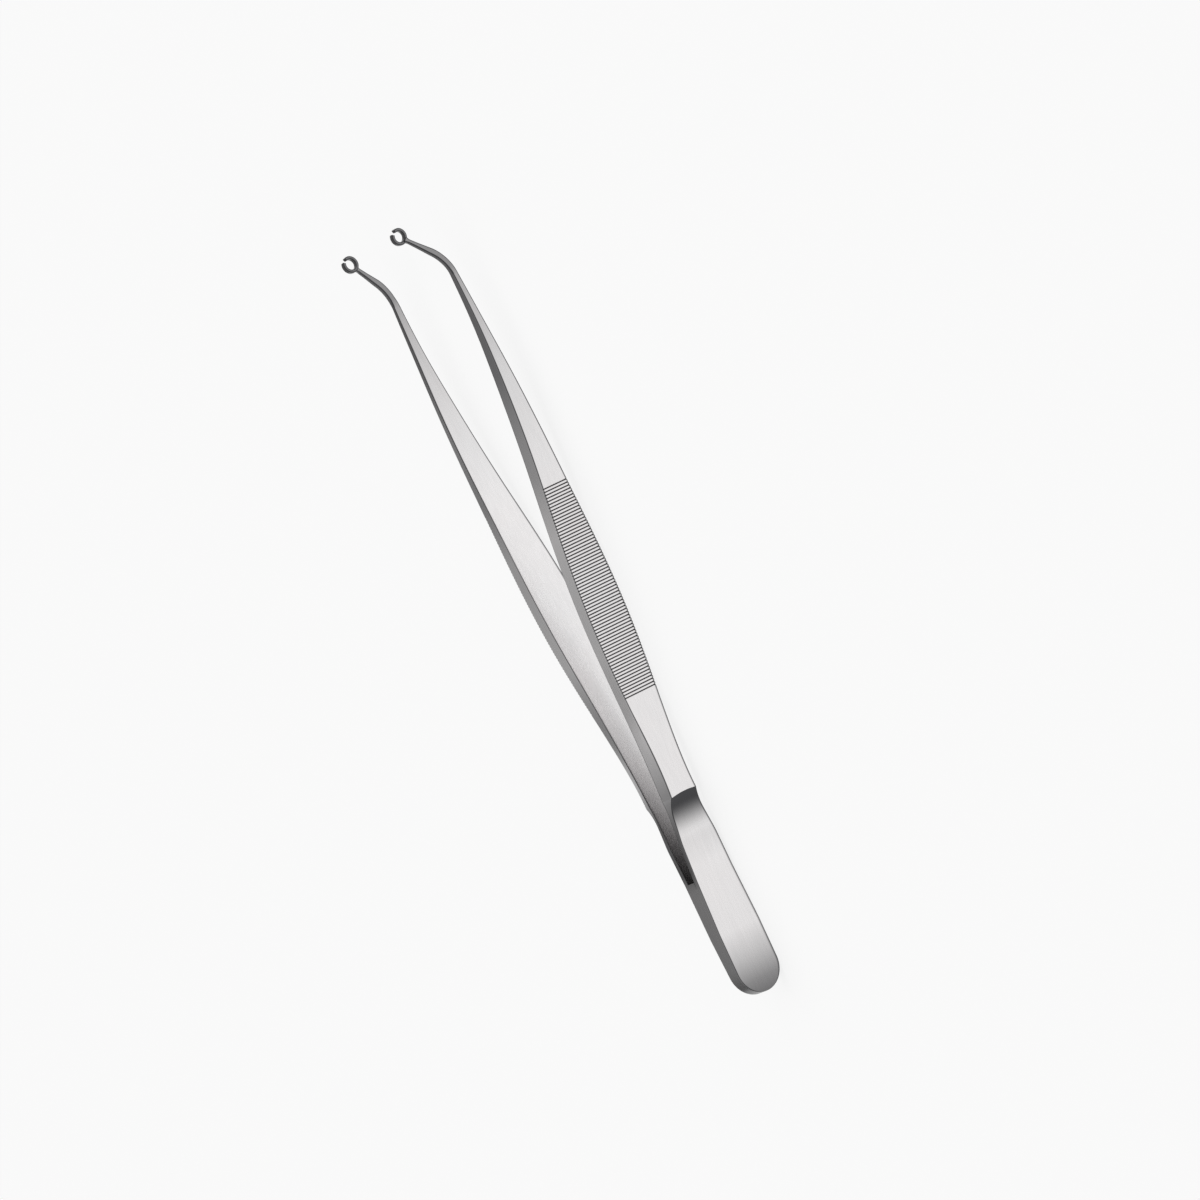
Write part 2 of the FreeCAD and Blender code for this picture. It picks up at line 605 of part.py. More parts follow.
def grip_comb():
    """A comb that cuts the grooves: a bar just above the grip's face with a pattern of V teeth."""
    body = new_body("grip_comb")
    run = POINT["grip_end_out"] - POINT["grip_out"]
    lean = -math.degrees(math.atan2(run.x, run.y))
    place = FreeCAD.Placement(POINT["grip_out"], FreeCAD.Rotation(FreeCAD.Vector(0, 0, 1), lean))
    depth = size("groove_depth")
    clear = depth / 4
    margin = size("blank_margin")
    length = size("grip_length")
    bar_sketch = new_sketch(body, "comb_bar_outline", "XY_Plane", place)
    corners = [
        FreeCAD.Vector(margin, 0, 0),
        FreeCAD.Vector(margin, length, 0),
        FreeCAD.Vector(clear, length, 0),
        FreeCAD.Vector(clear, 0, 0),
    ]
    edges = [Part.LineSegment(corners[k], corners[(k + 1) % 4]) for k in range(4)]
    close_chain(bar_sketch, edges)
    bar_sketch.addConstraint(Sketcher.Constraint("Horizontal", 1))
    bar_sketch.addConstraint(Sketcher.Constraint("Vertical", 2))
    pin(bar_sketch, 0, 1, "blank_margin", "0")
    pin(bar_sketch, 1, 1, "blank_margin", "grip_length")
    pin(bar_sketch, 3, 1, "groove_depth / 4", "0")
    pad(body, "comb_bar", bar_sketch, "2 * tail_width")

    # A tooth narrows from the bar to its point, at the groove's width where it meets the face.
    tooth_sketch = new_sketch(body, "comb_tooth_outline", "XY_Plane", place)
    first = (length - (size("groove_count") - 1) * size("groove_pitch")) / 2
    base = depth / 2
    base_half = size("groove_width") / 2 * (depth + base) / depth
    corners = [
        FreeCAD.Vector(base, first - base_half, 0),
        FreeCAD.Vector(base, first + base_half, 0),
        FreeCAD.Vector(-depth, first, 0),
    ]
    edges = [Part.LineSegment(corners[k], corners[(k + 1) % 3]) for k in range(3)]
    close_chain(tooth_sketch, edges)
    first_text = "( grip_length - ( groove_count - 1 ) * groove_pitch ) / 2"
    bind(tooth_sketch, "DistanceX", (-1, 1, 0, 1), base, "groove_depth / 2")
    bind(tooth_sketch, "DistanceX", (-1, 1, 0, 2), base, "groove_depth / 2")
    bind(tooth_sketch, "DistanceX", (2, 1, -1, 1), depth, "groove_depth")
    bind(tooth_sketch, "DistanceY", (-1, 1, 2, 1), first, first_text)
    bind(tooth_sketch, "DistanceY", (0, 1, 2, 1), base_half, "groove_width * 3 / 4")
    bind(tooth_sketch, "DistanceY", (2, 1, 0, 2), base_half, "groove_width * 3 / 4")
    tooth = pad(body, "comb_tooth", tooth_sketch, "2 * tail_width")
    pattern = body.newObject("PartDesign::LinearPattern", "comb_teeth")
    pattern.Originals = [tooth]
    pattern.Direction = (tooth_sketch, ["V_Axis"])
    pattern.Mode = "Spacing"
    pattern.setExpression("Offset", formula("groove_pitch"))
    pattern.setExpression("Occurrences", formula("groove_count"))
    body.Tip = pattern
    return body


# The finished pieces


def boolean(kind, name, base, tool):
    """A boolean of two objects."""
    result = doc.addObject(kind, name)
    result.Label = name
    result.Base = base
    result.Tool = tool
    return result


def mirrored(source, name):
    """The same piece on the other side of the plane X = 0."""
    piece = doc.addObject("Part::Mirroring", name)
    piece.Label = name
    piece.Source = source
    piece.Normal = FreeCAD.Vector(1, 0, 0)
    piece.Base = FreeCAD.Vector(0, 0, 0)
    return piece


def build():
    """Builds every piece and returns them in order."""
    plan = arm_plan()
    tail = tail_form()
    blade_blank = boolean("Part::Common", "blade_blank", plan, blade_form())
    with_shank = boolean("Part::Fuse", "blade_with_shank", blade_blank, shank())
    with_ring = boolean("Part::Fuse", "blade_with_ring", with_shank, ring())
    blade = boolean("Part::Cut", "right_arm_blade", with_ring, grip_comb())
    heel = boolean("Part::Common", "right_arm_heel", plan, tail)
    spacer = boolean("Part::Common", "tail_spacer", spacer_plan(), tail)
    for piece in (blade, heel, spacer):
        piece.Placement = FreeCAD.Placement(FreeCAD.Vector(0, -OVERALL_LENGTH / 2, size("tail_width") / 2),
                                            FreeCAD.Rotation())
    doc.recompute()
    left_heel = mirrored(heel, "left_arm_heel")
    left_blade = mirrored(blade, "left_arm_blade")
    doc.recompute()
    return [spacer, heel, left_heel, blade, left_blade]


def check(pieces):
    """Stops the build if a feature failed, a boolean came apart or a piece isn't one sound solid."""
    faults = []
    for item in doc.Objects:
        if "Invalid" in item.State or "Error" in item.State:
            faults.append(f"{item.Name} {item.State}")
        if item.isDerivedFrom("Part::Boolean") and len(item.Shape.Solids) != 1:
            faults.append(f"{item.Name} has {len(item.Shape.Solids)} solids")
    for piece in pieces:
        shape = piece.Shape
        if shape.isNull() or not shape.isValid() or len(shape.Solids) != 1:
            faults.append(f"{piece.Label} is not one valid solid")
    if faults:
        raise RuntimeError("; ".join(faults))


PIECES = build()
check(PIECES)
os.makedirs("parts", exist_ok=True)
for piece in PIECES:
    piece.Shape.exportStep(f"parts/{piece.Label}.step")
    box = piece.Shape.BoundBox
    print(f"{piece.Label}: volume {piece.Shape.Volume:.3f}, X {box.XMin:.2f} {box.XMax:.2f},"
          f" Y {box.YMin:.2f} {box.YMax:.2f}, Z {box.ZMin:.2f} {box.ZMax:.2f}")
lift = FreeCAD.Vector(0, -OVERALL_LENGTH / 2, size("tail_width") / 2)
for label, point in (("ring centre", RING_CENTRE), ("flexure", HINGE)):
    point = point + lift
    print(f"{label}: {point.x:.4f} {point.y:.4f} {point.z:.4f}")
print(f"closing angle {CLOSING:.4f} degrees, overall length {OVERALL_LENGTH:.3f}")
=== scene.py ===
"""Suture forceps: the looks of two sprung steel arms, their ring tips and the wedge at the tail.

Lengths in the classes are in millimetres and are turned into metres when a mesh is made. A place
along an arm is its distance from the tail's end. The arms open along X about the plane X = 0, lie
along Y with their tips towards +Y, and their width is along Z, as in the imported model.
"""

import logging
import math
from dataclasses import dataclass, field
from enum import Enum, IntEnum

import bpy
import numpy as np
from mathutils import Matrix, Vector


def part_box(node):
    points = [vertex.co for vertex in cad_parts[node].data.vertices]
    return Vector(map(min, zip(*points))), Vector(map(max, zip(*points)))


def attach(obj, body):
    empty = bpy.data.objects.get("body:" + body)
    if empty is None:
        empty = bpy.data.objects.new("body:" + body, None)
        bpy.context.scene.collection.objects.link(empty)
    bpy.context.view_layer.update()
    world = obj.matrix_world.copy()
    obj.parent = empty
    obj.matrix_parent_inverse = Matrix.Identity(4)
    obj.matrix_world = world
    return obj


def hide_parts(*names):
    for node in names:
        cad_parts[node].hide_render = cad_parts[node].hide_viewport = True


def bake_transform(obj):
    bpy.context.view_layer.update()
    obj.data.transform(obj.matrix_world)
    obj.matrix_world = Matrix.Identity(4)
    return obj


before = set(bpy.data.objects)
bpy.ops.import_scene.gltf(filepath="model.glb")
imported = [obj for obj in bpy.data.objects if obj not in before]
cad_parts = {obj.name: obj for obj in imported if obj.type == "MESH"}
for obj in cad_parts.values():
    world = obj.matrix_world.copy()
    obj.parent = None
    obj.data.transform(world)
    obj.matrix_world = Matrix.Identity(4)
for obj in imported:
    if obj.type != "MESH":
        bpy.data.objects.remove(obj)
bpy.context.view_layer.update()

LOG = logging.getLogger("suture_forceps")
MM = 0.001
BRINK = 0.002
Array = np.ndarray
Colour = tuple[float, float, float]
ACROSS = np.array([1.0, 0.0, 0.0])
UPRIGHT = np.array([0.0, 0.0, 1.0])
CORNER_SIGNS = np.array([[-1, -1], [-1, 1], [1, 1], [1, -1]])


class Side(Enum):
    """Which arm a piece belongs to. The value is the sign of its X."""

    RIGHT = 1
    LEFT = -1

    @property
    def word(self) -> str:
        """The side's name, as the nodes and bodies use it."""
        return self.name.lower()


class Face(IntEnum):
    """The four sides of a section, in the order in which its points go round.

    A side's number is also that of the corner where it starts.
    """

    INNER = 0
    UPPER = 1
    OUTER = 2
    LOWER = 3


class Mark(Enum):
    """Attributes that a mesh carries for the shade painted into its colour, each from 0 to 1."""

    # painted shade of the slot, scoop, tail's end, narrow sides, necks, shank and ring
    SHADE = "shade"
    # painted shade in the grooves, by their depth
    GROOVE = "groove"
    # painted shade along the rounded edges
    EDGE = "edge"


def smooth_step(values: Array) -> Array:
    """Three times the square less twice the cube of the values, held between 0 and 1."""
    held = np.clip(values, 0.0, 1.0)
    return held * held * (3.0 - 2.0 * held)


def unit(vector: Array) -> Array:
    """The vectors divided by their lengths, along the last axis."""
    return vector / np.linalg.norm(vector, axis=-1, keepdims=True)


def box_corners(half_thick: Array, half_wide: Array) -> Array:
    """Corners of rectangles, one per station: each half size times the corner's two signs."""
    return CORNER_SIGNS * np.stack([half_thick, half_wide], axis=-1)[:, None]


@dataclass(frozen=True)
class StationCurve:
    """A value that runs smoothly through given values at given places along the arm."""

    places: tuple[float, ...]
    values: tuple[float, ...]

    def bends(self) -> Array:
        """The second derivative at each place, from the equations of a natural cubic spline.

        Returns:
            One number per place, with zero at both ends.
        """
        place = np.array(self.places)
        value = np.array(self.values)
        step = np.diff(place)
        slope = np.diff(value) / step
        count = len(place)
        matrix = np.eye(count)
        right = np.zeros(count)
        inner = np.arange(1, count - 1)
        matrix[inner, inner - 1] = step[:-1]
        matrix[inner, inner] = 2.0 * (step[:-1] + step[1:])
        matrix[inner, inner + 1] = step[1:]
        right[inner] = 6.0 * np.diff(slope)
        return np.linalg.solve(matrix, right)

    def at(self, along: Array) -> Array:
        """The cubic between each two neighbouring places, which meets them with equal slopes.

        Args:
            along: Places along the arm.

        Returns:
            The value at each of them.
        """
        place = np.array(self.places)
        value = np.array(self.values)
        bend = self.bends()
        index = np.clip(np.searchsorted(place, along) - 1, 0, len(place) - 2)
        step = place[index + 1] - place[index]
        far = (along - place[index]) / step
        near = 1.0 - far
        curve = (near ** 3 - near) * bend[index] + (far ** 3 - far) * bend[index + 1]
        return near * value[index] + far * value[index + 1] + curve * step ** 2 / 6.0


@dataclass(frozen=True)
class TangentArc:
    """An arc of the arm's plan that leaves one point along a slope and ends at another point.

    Points are (X, place along the arm), and a slope is X per place.
    """

    start: tuple[float, float]
    slope: float
    end: tuple[float, float]

    def centre(self) -> tuple[float, float]:
        """The arc's centre, which lies on the normal at the start and as far from both ends.

        Returns:
            Its X and its place along the arm.
        """
        normal = unit(np.array([-1.0, self.slope]))
        chord = np.subtract(self.end, self.start)
        reach = chord @ chord / (2.0 * chord @ normal)
        return tuple(np.array(self.start) + normal * reach)

    def at(self, along: Array) -> Array:
        """X on the circle: the centre's, plus or minus the root of radius squared less run squared.

        Args:
            along: Places along the arm.

        Returns:
            X at each of them.
        """
        centre_x, centre_along = self.centre()
        radius = math.dist(self.start, (centre_x, centre_along))
        side = math.copysign(1.0, self.start[0] - centre_x)
        run = np.clip(along - centre_along, -radius, radius)
        return centre_x + side * np.sqrt(radius ** 2 - run ** 2)

    def end_slope(self) -> float:
        """The slope where the arc ends."""
        centre_x, centre_along = self.centre()
        return -(self.end[1] - centre_along) / (self.end[0] - centre_x)


@dataclass(frozen=True)
class Section:
    """Rounded four-sided sections, one per station, in their own planes.

    The first coordinate is across the arm's thickness and the second along its width. Corners go
    round from the inner face's lower one.
    """

    arc_steps: int = 4
    flat_steps: tuple[float, ...] = (0.04, 0.19, 0.35, 0.5, 0.65, 0.81, 0.96)

    @property
    def columns(self) -> int:
        """How many points one section has."""
        return len(Face) * (self.arc_steps + 1 + len(self.flat_steps))

    @property
    def bend(self) -> Array:
        """How far round a corner each of its points is, from 0 to 1."""
        return np.linspace(0.0, 1.0, self.arc_steps + 1)

    def points(self, corners: Array, radii: Array) -> Array:
        """Sections with rounded corners.

        A corner is the parabola from one side to the next whose tangents meet at the corner, and a
        flat is the straight run between two corners.

        Args:
            corners: Stations by 4 by 2.
            radii: How far each rounding reaches along its sides, stations by 4.

        Returns:
            Stations by columns by 2.
        """
        runs = []
        bend = self.bend[None, :, None]
        flat = np.array(self.flat_steps)[None, :, None]
        before = unit(np.roll(corners, 1, axis=1) - corners)
        after = unit(np.roll(corners, -1, axis=1) - corners)
        starts = corners + before * radii[:, :, None]
        ends = corners + after * radii[:, :, None]
        for face in Face:
            start = starts[:, face, None]
            middle = corners[:, face, None]
            end = ends[:, face, None]
            runs.append((1 - bend) ** 2 * start + 2 * bend * (1 - bend) * middle + bend ** 2 * end)
            following = starts[:, (face + 1) % len(Face), None]
            runs.append(end + (following - end) * flat)
        return np.concatenate(runs, axis=1)

    def side_shares(self) -> Array:
        """How much each column belongs to each side.

        Round a corner the share moves evenly from the side before to the side after.

        Returns:
            4 by columns, in the order of the sides.
        """
        own = np.concatenate([self.bend, np.ones(len(self.flat_steps)), 1.0 - self.bend])
        row = np.concatenate([own, np.zeros(self.columns - len(own))])
        return np.stack([np.roll(row, face * self.columns // len(Face)) for face in Face])

    def edge_shade_marks(self, full: tuple[bool, ...] = (True,) * len(Face)) -> Array:
        """How much each column belongs to an edge, for the painted shade along the edges.

        Args:
            full: For each corner, whether it is marked over its whole rounding. Otherwise the mark
                is one at the rounding's middle and falls to zero at its ends.

        Returns:
            One number per column.
        """
        soft = 4.0 * self.bend * (1.0 - self.bend)
        whole = np.ones(len(self.bend))
        flat = np.zeros(len(self.flat_steps))
        return np.concatenate([np.append(whole if is_full else soft, flat) for is_full in full])


@dataclass(frozen=True)
class Sweep:
    """Sections carried along a path: where each one's middle is, and its two axes."""

    middles: Array
    across: Array
    upright: Array

    @classmethod
    def straight(cls, middles: Array) -> "Sweep":
        """Sections that all stand square to the arms' length, with their axes along X and Z."""
        count = len(middles)
        return cls(middles, np.repeat(ACROSS[None], count, axis=0), np.repeat(UPRIGHT[None], count, axis=0))

    def surface(self, points: Array) -> Array:
        """Middle plus the first coordinate along across plus the second along upright.

        Args:
            points: Stations by columns by 2.

        Returns:
            Stations by columns by 3.
        """
        thick = points[:, :, 0, None] * self.across[:, None, :]
        wide = points[:, :, 1, None] * self.upright[:, None, :]
        return self.middles[:, None, :] + thick + wide


@dataclass
class Shell:
    """A closed surface on a grid of stations by columns, with its marks, stations by columns too."""

    grid: Array
    marks: dict[Mark, Array]

    def faces(self, first: int, turned: bool) -> list[list[int]]:
        """The grid's quads and its two end caps.

        Args:
            first: The number of the shell's first vertex in the mesh.
            turned: Whether the grid was mirrored, so that its faces go round the other way.

        Returns:
            Vertex numbers, face by face.
        """
        rows, columns = self.grid.shape[:2]
        number = first + np.arange(rows * columns).reshape(rows, columns)
        beside = np.roll(number, -1, axis=1)
        quads = np.stack([number[:-1], beside[:-1], beside[1:], number[1:]], axis=-1).reshape(-1, 4)
        caps = [number[0][::-1], number[-1]]
        if turned:
            quads = quads[:, ::-1]
            caps = [cap[::-1] for cap in caps]
        return quads.tolist() + [cap.tolist() for cap in caps]


def linked(name: str, data: bpy.types.ID) -> bpy.types.Object:
    """Makes an object of a mesh, a lamp's or a camera's data, and links it to the scene.

    Args:
        name: The object's name.
        data: What it is made of.

    Returns:
        The object, at the origin.
    """
    thing = bpy.data.objects.new(name, data)
    bpy.context.scene.collection.objects.link(thing)
    return thing


def mesh_piece(name: str, shells: list[Shell], side: Side, material: bpy.types.Material,
               sharp_angle: float = 32.0) -> bpy.types.Object:
    """Makes one object of closed shells.

    Args:
        name: The piece's name.
        shells: The shells, in millimetres, made for the right side.
        side: The side to put them on. For the left one, X changes its sign.
        material: The finish.
        sharp_angle: Edges that turn by more than this many degrees are drawn sharp.

    Returns:
        The object, linked to the scene, at the origin.
    """
    place = np.array([side.value * MM, MM, MM])
    vertices = np.concatenate([shell.grid.reshape(-1, 3) for shell in shells]) * place
    faces = []
    first = 0
    for shell in shells:
        faces += shell.faces(first, turned=side is Side.LEFT)
        first += shell.grid.shape[0] * shell.grid.shape[1]
    mesh = bpy.data.meshes.new(name)
    mesh.from_pydata(vertices, [], faces)
    for mark in Mark:
        parts = [np.broadcast_to(shell.marks.get(mark, 0.0), shell.grid.shape[:2]) for shell in shells]
        values = np.concatenate([part.reshape(-1) for part in parts]).astype(np.float32)
        mesh.attributes.new(mark.value, "FLOAT", "POINT").data.foreach_set("value", values)
    mesh.materials.append(material)
    mesh.shade_smooth()
    mesh.set_sharp_from_angle(angle=math.radians(sharp_angle))
    piece = linked(name, mesh)
    return piece


@dataclass(frozen=True)
class Place:
    """Where the forceps lie: how far the tail's end is behind the origin, and how high their middle."""

    tail_end: float
    middle_height: float

    @classmethod
    def of_spacer(cls) -> "Place":
        """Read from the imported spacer's box, which starts at the tail's end and is as wide as the tail."""
        low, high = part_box("tail_spacer")
        return cls(-low.y / MM, (low.z + high.z) / 2 / MM)

    def point(self, across: Array, along: Array, height: Array) -> Array:
        """Points of the row frame, in millimetres, from measures on the arm."""
        parts = np.broadcast_arrays(across, along - self.tail_end, height + self.middle_height)
        return np.stack(parts, axis=-1)


@dataclass(frozen=True)
class TailOutline:
    """The tail seen from its broad side: a half round, a parallel part and a straight taper.

    Its sections start just past the end itself, where it has no width.
    """

    width: float = 10.8
    length: float = 14.0
    taper_end: float = 34.0
    taper_end_width: float = 9.24
    first_turn: float = 0.02
    round_steps: int = 26
    straight_steps: int = 8

    def stations(self, end: float) -> Array:
        """Places from the tail's end: even turns of the round end, then even steps.

        Args:
            end: The last place.

        Returns:
            The places, in order.
        """
        radius = self.width / 2
        turn = np.linspace(self.first_turn, math.pi / 2, self.round_steps)
        parallel = np.linspace(radius, self.length, self.straight_steps)[1:]
        taper = np.linspace(self.length, end, self.straight_steps)[1:]
        return np.concatenate([radius * (1.0 - np.cos(turn)), parallel, taper])

    def half_width(self, along: Array) -> Array:
        """Half the width: a circle's height over the round end, then the straight sides.

        Args:
            along: Places along the arm.

        Returns:
            Half the width at each.
        """
        radius = self.width / 2
        run = np.clip(radius - along, 0.0, radius)
        round_end = np.sqrt(radius ** 2 - run ** 2)
        share = np.clip((along - self.length) / (self.taper_end - self.length), 0.0, 1.0)
        return round_end + (self.taper_end_width / 2 - radius) * share


@dataclass(frozen=True)
class ArmPlan:
    """The arm seen from its narrow side: X of its inner and outer face at places along it."""

    tail_gap: float = 0.5
    slot_gap: float = 2.26
    slot_end: float = 26.0
    leaf_thickness: float = 1.15
    shoulder_at: float = 43.3
    shoulder_thickness: float = 2.5
    scoop_radius: float = 8.0
    grip_at: float = 62.8
    grip_end: float = 112.8
    bend_at: float = 156.7
    grip_gap: float = 7.6
    grip_end_gap: float = 18.0
    bend_gap: float = 22.65
    grip_thickness: float = 2.6
    grip_end_thickness: float = 2.75
    bend_thickness: float = 1.1

    @property
    def leaf_slope(self) -> float:
        """How the inner face leans along the leaf and the handle."""
        return (self.grip_gap - self.slot_gap) / 2 / (self.grip_at - self.slot_end)

    @property
    def grip_slope(self) -> float:
        """How the flat outer face of the grip leans."""
        rise = (self.grip_end_gap - self.grip_gap) / 2 + self.grip_end_thickness - self.grip_thickness
        return rise / (self.grip_end - self.grip_at)

    def inner_arcs(self) -> tuple[TangentArc, TangentArc]:
        """The inner face's two arcs.

        Returns:
            The arc along the grip, and the one along the neck, which leaves it smoothly.
        """
        grip = TangentArc((self.grip_gap / 2, self.grip_at), self.leaf_slope,
                          (self.grip_end_gap / 2, self.grip_end))
        neck = TangentArc(grip.end, grip.end_slope(), (self.bend_gap / 2, self.bend_at))
        return grip, neck

    def outer_arc(self) -> TangentArc:
        """The outer face's arc along the neck."""
        return TangentArc((self.grip_end_gap / 2 + self.grip_end_thickness, self.grip_end), self.grip_slope,
                          (self.bend_gap / 2 + self.bend_thickness, self.bend_at))

    def inner(self, along: Array) -> Array:
        """X of the inner face: two straight runs, then two arcs that meet smoothly.

        Args:
            along: Places along the arm.

        Returns:
            X at each of them.
        """
        grip, neck = self.inner_arcs()
        tail = self.tail_gap / 2 + (self.slot_gap - self.tail_gap) / 2 * along / self.slot_end
        leaf = self.slot_gap / 2 + self.leaf_slope * (along - self.slot_end)
        return np.select([along < self.slot_end, along < self.grip_at, along < self.grip_end],
                         [tail, leaf, grip.at(along)], neck.at(along))

    @property
    def shoulder_x(self) -> float:
        """X of the shoulder's edge: the inner face's there, and the steel's thickness."""
        inner = self.slot_gap / 2 + self.leaf_slope * (self.shoulder_at - self.slot_end)
        return inner + self.shoulder_thickness

    def scoop(self, along: Array) -> Array:
        """X in the scoop: the leaf's outer face, then a circle that touches it and ends at the shoulder.

        The circle's centre is one radius off the leaf's line, on the outer side.

        Args:
            along: Places from the slot's end to the shoulder.

        Returns:
            X at each of them.
        """
        run = unit(np.array([self.leaf_slope, 1.0]))
        outward = np.array([run[1], -run[0]])
        base = np.array([self.slot_gap / 2 + self.leaf_thickness, self.slot_end])
        to_shoulder = np.array([self.shoulder_x, self.shoulder_at]) - base
        height = to_shoulder @ outward
        reach = math.sqrt(self.scoop_radius ** 2 - (self.scoop_radius - height) ** 2)
        touch = base + run * (to_shoulder @ run - reach)
        centre = touch + outward * self.scoop_radius
        leaf = base[0] + self.leaf_slope * (along - self.slot_end)
        drop = np.sqrt(np.clip(self.scoop_radius ** 2 - (along - centre[1]) ** 2, 0.0, None))
        return np.where(along < touch[1], leaf, centre[0] - drop)

    def outer(self, along: Array) -> Array:
        """X of the outer face: tail, leaf and scoop, handle, the grip's flat and the neck's arc.

        Args:
            along: Places along the arm.

        Returns:
            X at each of them.
        """
        tail = self.inner(along) + self.leaf_thickness
        grip_x = self.grip_gap / 2 + self.grip_thickness
        handle_slope = (grip_x - self.shoulder_x) / (self.grip_at - self.shoulder_at)
        handle = self.shoulder_x + handle_slope * (along - self.shoulder_at)
        grip = grip_x + self.grip_slope * (along - self.grip_at)
        return np.select([along < self.slot_end, along < self.shoulder_at, along < self.grip_at,
                          along < self.grip_end],
                         [tail, self.scoop(along), handle, grip], self.outer_arc().at(along))


@dataclass(frozen=True)
class ArmForm:
    """The arm's mean width and the slope of its sides, at stations from the flexure to the bend."""

    places: tuple[float, ...] = (34.05, 43.3, 62.8, 82.8, 97.8, 112.8, 134.75, 146.6, 156.7)
    widths: tuple[float, ...] = (9.24, 7.62, 8.45, 9.85, 8.8, 6.55, 3.55, 2.05, 1.4)
    bevels: tuple[float, ...] = (0.0, 18.3, 7.4, 1.1, 5.1, 11.3, 15.0, 11.5, 10.0)

    def half_width(self, along: Array) -> Array:
        """Half the mean width, on a smooth curve through the stations."""
        return StationCurve(self.places, self.widths).at(along) / 2

    def flare(self, along: Array) -> Array:
        """How much half the width grows per millimetre towards the inner face."""
        tangents = tuple(math.tan(math.radians(bevel)) for bevel in self.bevels)
        return StationCurve(self.places, tangents).at(along)


@dataclass(frozen=True)
class Grooves:
    """The cross grooves of the grip."""

    count: int = 70
    pitch: float = 0.65
    width: float = 0.34
    depth: float = 0.18

    def bottoms(self, plan: ArmPlan) -> Array:
        """The places of the grooves' bottoms, a pitch apart about the middle of the grip."""
        middle = (plan.grip_at + plan.grip_end) / 2
        return middle + (np.arange(self.count) - (self.count - 1) / 2) * self.pitch

    def stations(self, plan: ArmPlan) -> Array:
        """Each groove's first border, its bottom and its second border, in order along the arm."""
        return (self.bottoms(plan)[:, None] + np.array([-0.5, 0.0, 0.5]) * self.width).reshape(-1)

    def depths(self, along: Array, plan: ArmPlan) -> Array:
        """How deep the groove is at each place: straight from the borders down to the bottom.

        Args:
            along: Places along the arm.
            plan: The arm's plan.

        Returns:
            The depth at each place, which is zero between the grooves.
        """
        distance = np.abs(along[:, None] - self.bottoms(plan)[None, :]).min(axis=1)
        return self.depth * np.clip(1.0 - distance / (self.width / 2), 0.0, 1.0)


@dataclass(frozen=True)
class Tones:
    """How much painted shade the steel gets along the arm, from 0 to 1, with straight runs between the
    places.
    """

    # Painted shade: darker in the slot between the arms, at the tail's round end, on the narrow sides and
    # towards the tips.
    inner_places: tuple[float, ...] = (26.0, 39.0, 52.0, 65.0, 78.0, 112.8, 134.0, 150.0, 156.7)
    inner: tuple[float, ...] = (0.62, 0.4, 0.18, 0.05, 0.0, 0.0, 0.17, 0.4, 0.56)
    outer_places: tuple[float, ...] = (0.0, 3.0, 8.0, 14.0, 29.0, 34.0, 37.0, 112.8, 134.0, 150.0, 156.7)
    outer: tuple[float, ...] = (0.86, 0.74, 0.4, 0.09, 0.06, 0.16, 0.06, 0.06, 0.2, 0.42, 0.56)
    side_places: tuple[float, ...] = (
        0.0, 2.5, 6.0, 24.0, 28.0, 43.3, 50.0, 62.8, 75.0, 100.0, 112.8, 134.75)
    side: tuple[float, ...] = (0.95, 0.85, 0.6, 0.56, 0.85, 0.74, 0.58, 0.36, 0.0, 0.1, 0.56, 0.84)
    scoop: float = 1.0
    scoop_full: float = 1.5
    scoop_fade: float = 7.4
    # painted shade of the face in the slot, of the shank and of the ring
    slot_end: float = 0.9
    shank: float = 0.72
    ring: float = 0.86

    def blade(self, along: Array, shoulder_at: float, shares: Array) -> Array:
        """The painted shade of each side times the column's share of it, added up.

        In the scoop the outer face is painted full dark below the shoulder, and the painted shade then fades
        smoothly.

        Args:
            along: Places along the arm.
            shoulder_at: The shoulder's place.
            shares: Each column's shares of the four sides.

        Returns:
            Stations by columns.
        """
        # painted shade in the scoop under the shoulder
        fade = smooth_step((shoulder_at - along - self.scoop_full) / self.scoop_fade)
        scoop = np.where(along < shoulder_at, self.scoop * (1.0 - fade), 0.0)
        inner = np.interp(along, self.inner_places, self.inner)
        outer = np.maximum(np.interp(along, self.outer_places, self.outer), scoop)
        side = np.interp(along, self.side_places, self.side)
        return np.stack([inner, side, outer, side], axis=-1) @ shares


